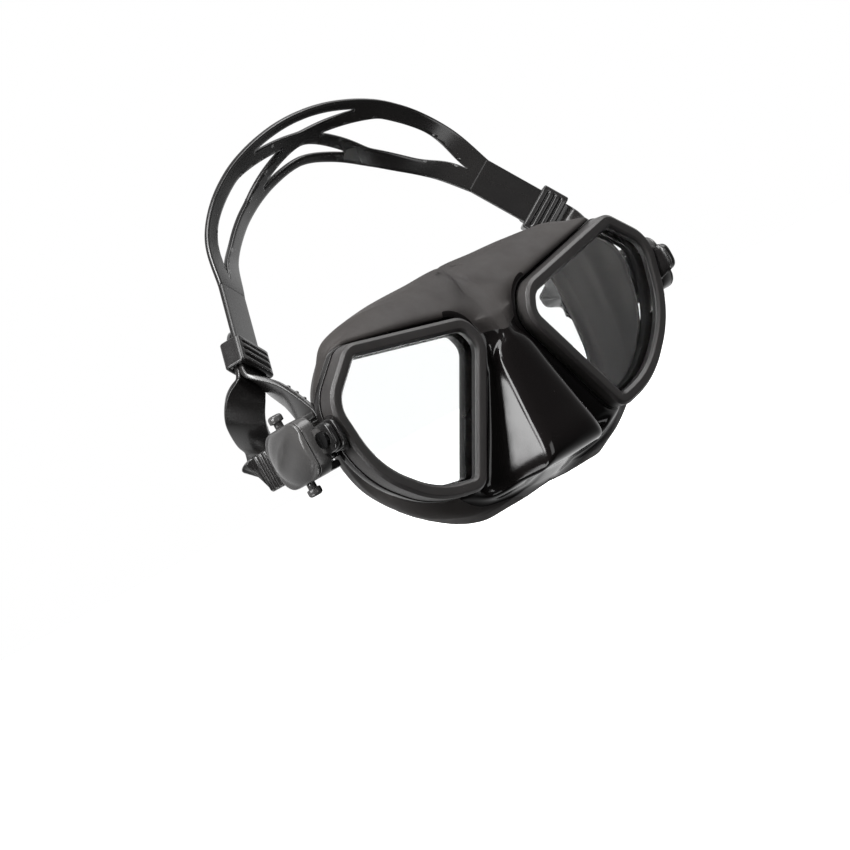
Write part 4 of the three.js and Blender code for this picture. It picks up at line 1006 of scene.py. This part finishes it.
def rear_bands():
    """The divided rear of the strap, one sheet cut by its openings and thickened."""
    from mathutils.geometry import delaunay_2d_cdt
    end = 2 * REAR_SPAN
    stretch = 30.0  # route points to plane units, so that cells come out near square
    squash = 12.0
    steps = 170
    s = np.linspace(0, end, steps + 1)
    outer = np.vstack([np.stack([s, np.full(len(s), -1.0)], 1),
                       np.stack([np.full(9, float(end)), np.linspace(-0.8, 0.8, 9)], 1),
                       np.stack([s[::-1], np.full(len(s), 1.0)], 1),
                       np.stack([np.zeros(9), np.linspace(0.8, -0.8, 9)], 1)])
    holes = strap_openings()
    grid_s, grid_q = np.meshgrid(np.linspace(0, end, 161)[1:-1], np.linspace(-1, 1, 19)[1:-1])
    grid = np.stack([grid_s.ravel(), grid_q.ravel()], 1)
    for hole in holes:
        gap = np.min(np.linalg.norm((grid[:, None] - hole[None]) * (stretch, squash), axis=2), axis=1)
        grid = grid[~inside_loop(grid, hole) & (gap > CELL_GAP)]
    loops = [outer] + holes
    verts = np.vstack([grid] + loops)
    edges, start = [], len(grid)
    for loop in loops:
        count = len(loop)
        edges += [(start + i, start + (i + 1) % count) for i in range(count)]
        start += count
    flat = [Vector((a * stretch, b * squash)) for a, b in verts]
    out, _, faces, _, _, _ = delaunay_2d_cdt(flat, edges, [], 1, 1e-6)
    plane = np.array([[v[0] / stretch, v[1] / squash] for v in out])
    faces = [list(f) for f in faces]
    centres = np.array([plane[f].mean(axis=0) for f in faces])
    open_face = np.zeros(len(faces), dtype=bool)
    for hole in holes:
        open_face |= inside_loop(centres, hole)
    faces = [f for f, gone in zip(faces, open_face) if not gone]
    curve = rear_curve()
    keys = np.linspace(0, end, 481)
    centre = curve.at_key(keys)
    half = np.minimum(keys, end - keys)
    ease = smoothstep(half, 0, REAR_SPAN)[:, None]
    wide_end = unit(V(0, -0.7, 0.72))
    start_side = np.where((keys > REAR_SPAN)[:, None], STRAP_ACROSS * V(-1, 1, 1), STRAP_ACROSS)
    w, _ = frames_along(centre, start_side * (1 - ease) + wide_end * ease)
    return band_solid(rear_sheet_points(plane[:, 0], plane[:, 1], (keys, centre, w)), faces)


def band_solid(points, faces):
    """A sheet given the strap's thickness, with its edges rounded over."""
    normals = vertex_normals(points, faces)
    edges = {}
    for f in faces:
        for p, q in zip(f, f[1:] + f[:1]):
            edges[(p, q)] = True
    rim = [(p, q) for p, q in edges if (q, p) not in edges]
    half = STRAP_THICKNESS / 2
    outward = np.zeros_like(points)
    for p, q in rim:
        side = np.cross(unit(points[q] - points[p]), normals[p])
        outward[p] += side
        outward[q] += side
    length = np.linalg.norm(outward, axis=1, keepdims=True)
    outward = np.where(length > 1e-9, outward / np.maximum(length, 1e-9), 0)
    count = len(points)
    corner = 0.45
    levels = [(half, -corner), (half - corner * 0.3, -corner * 0.3), (half - corner, 0),
              (corner - half, 0), (corner * 0.3 - half, -corner * 0.3), (-half, -corner)]
    on_rim = np.zeros(count, dtype=bool)
    on_rim[[v for edge in rim for v in edge]] = True
    layers = []
    for rise, inset in levels:
        layers.append(points + normals * rise + outward * inset * on_rim[:, None])
    top, bottom = layers[0], layers[-1]
    used = np.flatnonzero(on_rim)
    slot_of = {v: i for i, v in enumerate(used)}
    parts = [top, bottom] + [layer[used] for layer in layers[1:-1]]
    out = list(faces) + [[v + count for v in reversed(f)] for f in faces]
    base = 2 * count
    for p, q in rim:
        chain_p = [p] + [base + k * len(used) + slot_of[p] for k in range(4)] + [p + count]
        chain_q = [q] + [base + k * len(used) + slot_of[q] for k in range(4)] + [q + count]
        for k in range(5):
            out.append([chain_q[k], chain_p[k], chain_p[k + 1], chain_q[k + 1]])
    return np.vstack(parts), out


def head_strap():
    left = tail()
    points, faces = merged_mesh(left, mirror_mesh(left), rear_bands())
    return piece("strap_moulding", points, faces, STRAP, "strap_set", ["head_strap"])


# ---- keepers ----
def in_strap_frame(points):
    """Points given across, out of and along the strap at the keeper's centre."""
    along = np.cross(STRAP_ACROSS, STRAP_OUT)
    return (KEEPER_CENTRE + points[:, :1] * STRAP_ACROSS + points[:, 1:2] * STRAP_OUT
            + points[:, 2:] * along)


def keepers():
    """A box-shaped loop round both strap layers, with grooves moulded across its outer side."""
    hole = np.array([STRAP_WIDTH / 2 + SIDE_GAP, STRAP_THICKNESS + LAYER_GAP / 2 + SEAT_GAP])
    half = KEEPER_LENGTH / 2
    corner = 0.7
    bulge = 0.5

    def loop(x, y, r, z):
        flat = rounded_polygon([(-x, -y, r), (x, -y, r), (x, y, r), (-x, y, r)], 5)
        dense = []
        for a, b in zip(flat, np.roll(flat, -1, axis=0)):
            parts = max(int(np.linalg.norm(b - a) / 0.7), 1)
            dense += [a + (b - a) * t / parts for t in range(parts)]
        dense = np.array(dense)
        return np.hstack([dense, np.full((len(dense), 1), z)])

    steps = np.linspace(-1, 1, 67)
    outer_loops, inner_loops = [], []
    for t in steps:
        z = t * half
        edge = max(abs(z) - (half - corner), 0)
        drop = corner - math.sqrt(max(corner ** 2 - edge ** 2, 0))
        ring = loop(hole[0] + KEEPER_WALL, hole[1] + KEEPER_WALL, 1.3, z)
        scale = 1 - drop / (hole[1] + KEEPER_WALL)
        ring[:, 0] -= np.sign(ring[:, 0]) * drop * (np.abs(ring[:, 0]) > hole[0])
        ring[:, 1] *= scale
        groove = sum(math.exp(-((z - g * KEEPER_LENGTH / 4) / 0.42) ** 2) for g in (-1, 0, 1))
        broad = np.abs(ring[:, 1]) > hole[1]
        face = np.sign(ring[:, 1]) * broad * smoothstep(hole[0] + 0.2 - np.abs(ring[:, 0]), 0, 0.8)
        ring[:, 1] += face * (bulge * (1 - t * t) - 0.85 * groove)
        outer_loops.append(ring)
    inner_loops = [loop(hole[0], hole[1], 0.5, t * half) for t in np.linspace(1, -1, 5)]
    count = len(outer_loops[0])
    inner_loops = [resampled(ring, count) for ring in inner_loops]
    loops = outer_loops + inner_loops
    points = in_strap_frame(np.vstack(loops))
    faces = grid_faces(len(loops), count, True, True)
    pair("keeper_loop", (points, faces), KEEPER, "keeper_{}", "strap_keeper")


def resampled(ring, count):
    """The same closed loop with another number of points, starting at the same place."""
    closed = np.vstack([ring, ring[:1]])
    d = np.concatenate([[0], np.cumsum(np.linalg.norm(np.diff(closed, axis=0), axis=1))])
    t = np.linspace(0, d[-1], count, endpoint=False)
    return np.stack([np.interp(t, d, closed[:, k]) for k in range(3)], axis=1)


# ---- buckles ----
TRAY_OUTER = TRAY_FACE + TRAY_DEPTH
TRAY_BACK = BUCKLE_FRONT + BUCKLE_LENGTH
TRAY_WALL = 1.6
RAIL_INNER = STRAP_WIDTH / 2 + SIDE_GAP
MECHANISM_X = TRAY_FACE + TRAY_WALL + 2.1
BUTTON_Y = BUCKLE_FRONT + 12
BUTTON_TRAVEL = 1.6
BUTTON_RADIUS = 2.5
BUTTON_HEIGHT = 2.6
COVER_INSET = 0.1


def tray_outline(inset, steps=10):
    """Outline of the buckle in y and z: square at the front, tapering a little to the back."""
    top, low = PIVOT[2] + BUCKLE_HEIGHT / 2, PIVOT[2] - BUCKLE_HEIGHT / 2
    front, back = BUCKLE_FRONT, TRAY_BACK
    corners = [(front + inset, low + inset, 4.5), (back - inset, low + inset, 5.5),
               (back - inset, top - inset, 6.5), (front + inset, top - inset, 5)]
    flat = rounded_polygon([(y, z, max(r - inset * 0.6, 0.6)) for y, z, r in corners], steps)
    dense = []
    for a, b in zip(flat, np.roll(flat, -1, axis=0)):
        parts = max(int(np.linalg.norm(b - a) / 1.0), 1)
        dense += [a + (b - a) * t / parts for t in range(parts)]
    return np.array(dense)


def at_x(outline, x):
    return np.hstack([np.full((len(outline), 1), x), outline])


def fitted(outline, count):
    return resampled(np.hstack([outline, np.zeros((len(outline), 1))]), count)[:, :2]


def buckle_body():
    """The tray with its rounded rim, the rails beside the strap and the yoke round the pivot."""
    count = 120

    def ring(inset, x):
        return at_x(fitted(tray_outline(inset), count), x)

    r = 0.9
    shell = [ring(1.6, TRAY_FACE), ring(0.9, TRAY_FACE)]
    for a in np.linspace(0, math.pi / 2, 6):
        shell.append(ring(r * (1 - math.sin(a)), TRAY_FACE + r * (1 - math.cos(a))))
    shell += [ring(0, TRAY_OUTER - 0.35), ring(0.1, TRAY_OUTER - 0.1), ring(0.35, TRAY_OUTER)]
    shell += [ring(TRAY_WALL - 0.2, TRAY_OUTER), ring(TRAY_WALL, TRAY_OUTER - 0.2),
              ring(TRAY_WALL, TRAY_FACE + TRAY_WALL)]
    parts = [loft(shell)]
    for side in (1, -1):
        z0, z1 = PIVOT[2] + side * RAIL_INNER, PIVOT[2] + side * BUCKLE_HEIGHT / 2
        mid, half = (z0 + z1) / 2, abs(z1 - z0) / 2 - 0.05
        x0, x1 = ROLLER_X - 1.6, TRAY_FACE + 0.2
        sections = []
        for t, shrink in ((0, 0.55), (0.05, 0.85), (0.12, 1), (0.9, 1), (1, 1)):
            y_mid = (BUCKLE_FRONT + RAIL_FRONT + TRAY_BACK - 2) / 2
            y_half = (TRAY_BACK - 2 - BUCKLE_FRONT - RAIL_FRONT) / 2 - (1 - shrink) * 1.2
            sections.append(super_loop(V(x0 + (x1 - x0) * t, y_mid, mid), V(0, 1, 0), V(0, 0, 1),
                                       y_half, half * (0.5 + 0.5 * shrink), 7, 40))
        parts.append(loft(sections))
    yoke = []
    for x, shrink in ((0, 0.4), (0.25, 0.12), (0.6, 0), (1.6, 0), (1.95, 0.12), (2.2, 0.4)):
        yoke.append(super_loop(V(TRAY_FACE + x, (PIVOT[1] - 4.6 + BUCKLE_FRONT + 2) / 2, PIVOT[2]),
                               V(0, 1, 0), V(0, 0, 1), (BUCKLE_FRONT + 2 - PIVOT[1] + 4.6) / 2 - shrink,
                               5 - shrink, 3.2, 56))
    parts.append(loft(yoke))
    return merged_mesh(*parts)


def buckle_dome():
    """The domed cover, with a soft ridge that runs down from its upper front corner."""
    count = 120
    base_x = TRAY_OUTER + SEAT_GAP
    rim_inset, rim_rise = 0.4, 0.85
    centre = np.array([BUCKLE_FRONT + BUCKLE_LENGTH * 0.47, PIVOT[2] + 0.3])
    rings = []
    levels = [(0, 0), (0, 0.25), (0.12, 0.55), (rim_inset, rim_rise)]
    for inset, rise in levels:
        rings.append(at_x(fitted(tray_outline(COVER_INSET + inset), count), base_x + rise))
    rim = fitted(tray_outline(COVER_INSET + rim_inset), count)
    top = COVER_RISE - 0.05
    for t in np.linspace(0.06, 1, 22):
        flat = rim + (centre - rim) * (t ** 1.05)
        away = (flat - centre) / np.array([BUCKLE_LENGTH / 2, BUCKLE_HEIGHT / 2])
        radius = np.minimum(np.linalg.norm(away, axis=1), 1)
        dome = rim_rise + (top - rim_rise) * (1 - radius ** 2.6) ** 0.8
        lean = (flat[:, 0] - centre[0]) * 0.55 + (flat[:, 1] - centre[1]) * 0.83
        ridge = 0.35 * np.exp(-((lean - 3.2) / 1.5) ** 2) * (1 - radius ** 2)
        hollow = -0.25 * np.exp(-((lean + 1.0) / 3.0) ** 2) * (1 - radius ** 2)
        rings.append(np.hstack([(base_x + np.minimum(dome + ridge + hollow, COVER_RISE))[:, None], flat]))
    tip = rings[-1].mean(axis=0) + (rings[-2] - rings[-2].mean(axis=0)) * 0.02
    return loft(rings[:-1] + [tip])


def knob(side):
    """Release button: a stem and a knob with a rounded, finger-ribbed head."""
    base = BUCKLE_HEIGHT / 2 + SEAT_GAP + BUTTON_TRAVEL
    inner = BUCKLE_HEIGHT / 2 - TRAY_WALL - SEAT_GAP
    r, top = BUTTON_RADIUS, base + BUTTON_HEIGHT
    profile = [(0.01, inner - 0.7), (2.0, inner - 0.7), (2.0, inner), (1.5, inner), (1.5, base - 0.1),
               (2.0, base), (r - 0.1, base + 0.15), (r, base + 0.5), (r, top - 1.1), (r - 0.12, top - 0.6),
               (r - 0.5, top - 0.2), (r - 1.1, top), (0.01, top)]
    loops = []
    turn = np.linspace(0, 2 * math.pi, 48, endpoint=False)
    for r, z in profile:
        wave = 1 - 0.035 * (0.5 + 0.5 * np.cos(12 * turn)) * (r > 2.2)
        loops.append(np.stack([MECHANISM_X + r * wave * np.cos(turn), BUTTON_Y + r * wave * np.sin(turn),
                               np.full(48, PIVOT[2] + side * z)], axis=1))
    return loft(loops)


def buckles():
    for name, mesh, node in (("buckle_tray", buckle_body(), "buckle_housing"),
                             ("buckle_dome", buckle_dome(), "buckle_cover")):
        yoke = mesh[0][:, 1] < BUCKLE_FRONT - 0.3
        pair(name, mesh, BUCKLE, "strap_set", node, {"yoke": yoke})
    for level, direction in (("upper", 1), ("lower", -1)):
        pair(f"button_knob_{level}", knob(direction), BUCKLE, f"button_{level}_{{}}",
             f"release_button_{level}")


def steel_parts():
    """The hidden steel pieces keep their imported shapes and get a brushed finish."""
    for name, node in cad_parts.items():
        if name.startswith(("hinge_pin", "strap_roller", "locking_pawl", "button_spring")):
            for slot in node.material_slots:
                slot.material = BLACK_STEEL if name.startswith("hinge_pin") else STEEL


# ---- camera, light and stage ----
def camera_frame():
    back = V(math.sin(CAMERA_AZIMUTH) * math.cos(CAMERA_ELEVATION),
             -math.cos(CAMERA_AZIMUTH) * math.cos(CAMERA_ELEVATION), math.sin(CAMERA_ELEVATION))
    level = V(math.cos(CAMERA_AZIMUTH), math.sin(CAMERA_AZIMUTH), 0)
    upright = np.cross(back, level)
    right = level * math.cos(CAMERA_ROLL) + upright * math.sin(CAMERA_ROLL)
    up = upright * math.cos(CAMERA_ROLL) - level * math.sin(CAMERA_ROLL)
    return right, up, back


RIGHT, UP, BACK = camera_frame()


def add_camera():
    place = RIGHT * -CAMERA_SHIFT[0] + UP * -CAMERA_SHIFT[1] + BACK * CAMERA_DISTANCE
    data = bpy.data.cameras.new("camera")
    data.lens = CAMERA_LENS
    data.sensor_width = 36
    data.clip_start = 0.01
    camera = bpy.data.objects.new("camera", data)
    turn = Matrix([RIGHT, UP, BACK]).transposed()
    camera.matrix_world = Matrix.Translation(Vector(row(place))) @ turn.to_4x4()
    bpy.context.scene.collection.objects.link(camera)
    bpy.context.scene.camera = camera


def softbox(name, aim, direction, distance, size, power):
    """An area light seen from the aim point in a direction given right, up and towards the camera."""
    way = unit(RIGHT * direction[0] + UP * direction[1] + BACK * direction[2])
    data = bpy.data.lights.new(name, "AREA")
    data.shape = "RECTANGLE"
    data.size, data.size_y = size
    data.energy = power
    light = bpy.data.objects.new(name, data)
    place = Vector(row(aim + way * distance * 1000))
    light.matrix_world = (Matrix.Translation(place)
                          @ Vector(-Vector(way)).to_track_quat("-Z", "Y").to_matrix().to_4x4())
    bpy.context.scene.collection.objects.link(light)


def add_world():
    """White behind the object and dim towards the camera, as in a product studio."""
    world = bpy.data.worlds.new("studio")
    bpy.context.scene.world = world
    world.use_nodes = True
    tree = world.node_tree
    background = tree.nodes["Background"]
    place = tree.nodes.new("ShaderNodeTexCoord")
    facing = tree.nodes.new("ShaderNodeVectorMath")
    facing.operation = "DOT_PRODUCT"
    facing.inputs[1].default_value = tuple(-BACK)
    tree.links.new(place.outputs["Generated"], facing.inputs[0])
    ramp = tree.nodes.new("ShaderNodeMapRange")
    for key, value in (("From Min", -0.1), ("From Max", 0.75), ("To Min", 0.05), ("To Max", 1.0)):
        ramp.inputs[key].default_value = value
    tree.links.new(facing.outputs["Value"], ramp.inputs["Value"])
    path = tree.nodes.new("ShaderNodeLightPath")
    pick = tree.nodes.new("ShaderNodeMix")
    pick.inputs["B"].default_value = 1.0
    tree.links.new(path.outputs["Is Camera Ray"], pick.inputs["Factor"])
    tree.links.new(ramp.outputs["Result"], pick.inputs["A"])
    tree.links.new(pick.outputs["Result"], background.inputs["Strength"])
    background.inputs["Color"].default_value = (1, 1, 1, 1)


def add_floor():
    """A wide pale floor just under the object."""
    low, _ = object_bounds()
    mesh = bpy.data.meshes.new("floor")
    reach = 12.0
    mesh.from_pydata([(-reach, -reach, 0), (reach, -reach, 0), (reach, reach, 0), (-reach, reach, 0)], [],
                     [(0, 1, 2, 3)])
    floor = bpy.data.objects.new("floor", mesh)
    floor.location.z = low[2] - 0.004
    bpy.context.scene.collection.objects.link(floor)
    n = Nodes("floor_white")
    tone = n.blend_colour(n.remap(n.noise(6, 2), 0.3, 0.7), (0.93, 0.93, 0.93), (0.96, 0.96, 0.96))
    n.link(tone, n.shader.inputs["Base Color"])
    n.link(tone, n.shader.inputs["Emission Color"])
    n.fixed(Roughness=0.9, Emission_Strength=1.1)
    mesh.materials.append(n.material)
    floor.visible_glossy = False
    floor.visible_diffuse = False


NOSE = V(0, -4, -25)
add_camera()
add_world()
softbox("key", NOSE, (-0.9, 0.9, 0.9), 0.9, (0.5, 0.7), 9)
softbox("nose", NOSE, (-0.72, -0.05, 0.69), 0.8, (0.24, 0.34), 4)
softbox("buckle", V(-85, 16, -3), (-0.62, 0.55, 0.56), 0.6, (0.1, 0.16), 1.2)
softbox("low", NOSE, (-0.35, -0.85, 0.5), 0.9, (0.5, 0.4), 4)
softbox("fill", NOSE, (1.0, 0.2, 1.2), 1.2, (0.6, 0.6), 3)
softbox("top", NOSE, (0.1, 1.0, 0.1), 1.0, (0.8, 0.5), 7)

skirt()
bezels()
lenses()
carrier()
head_strap()
keepers()
buckles()
steel_parts()
add_floor()
bpy.context.scene.view_settings.view_transform = "Standard"
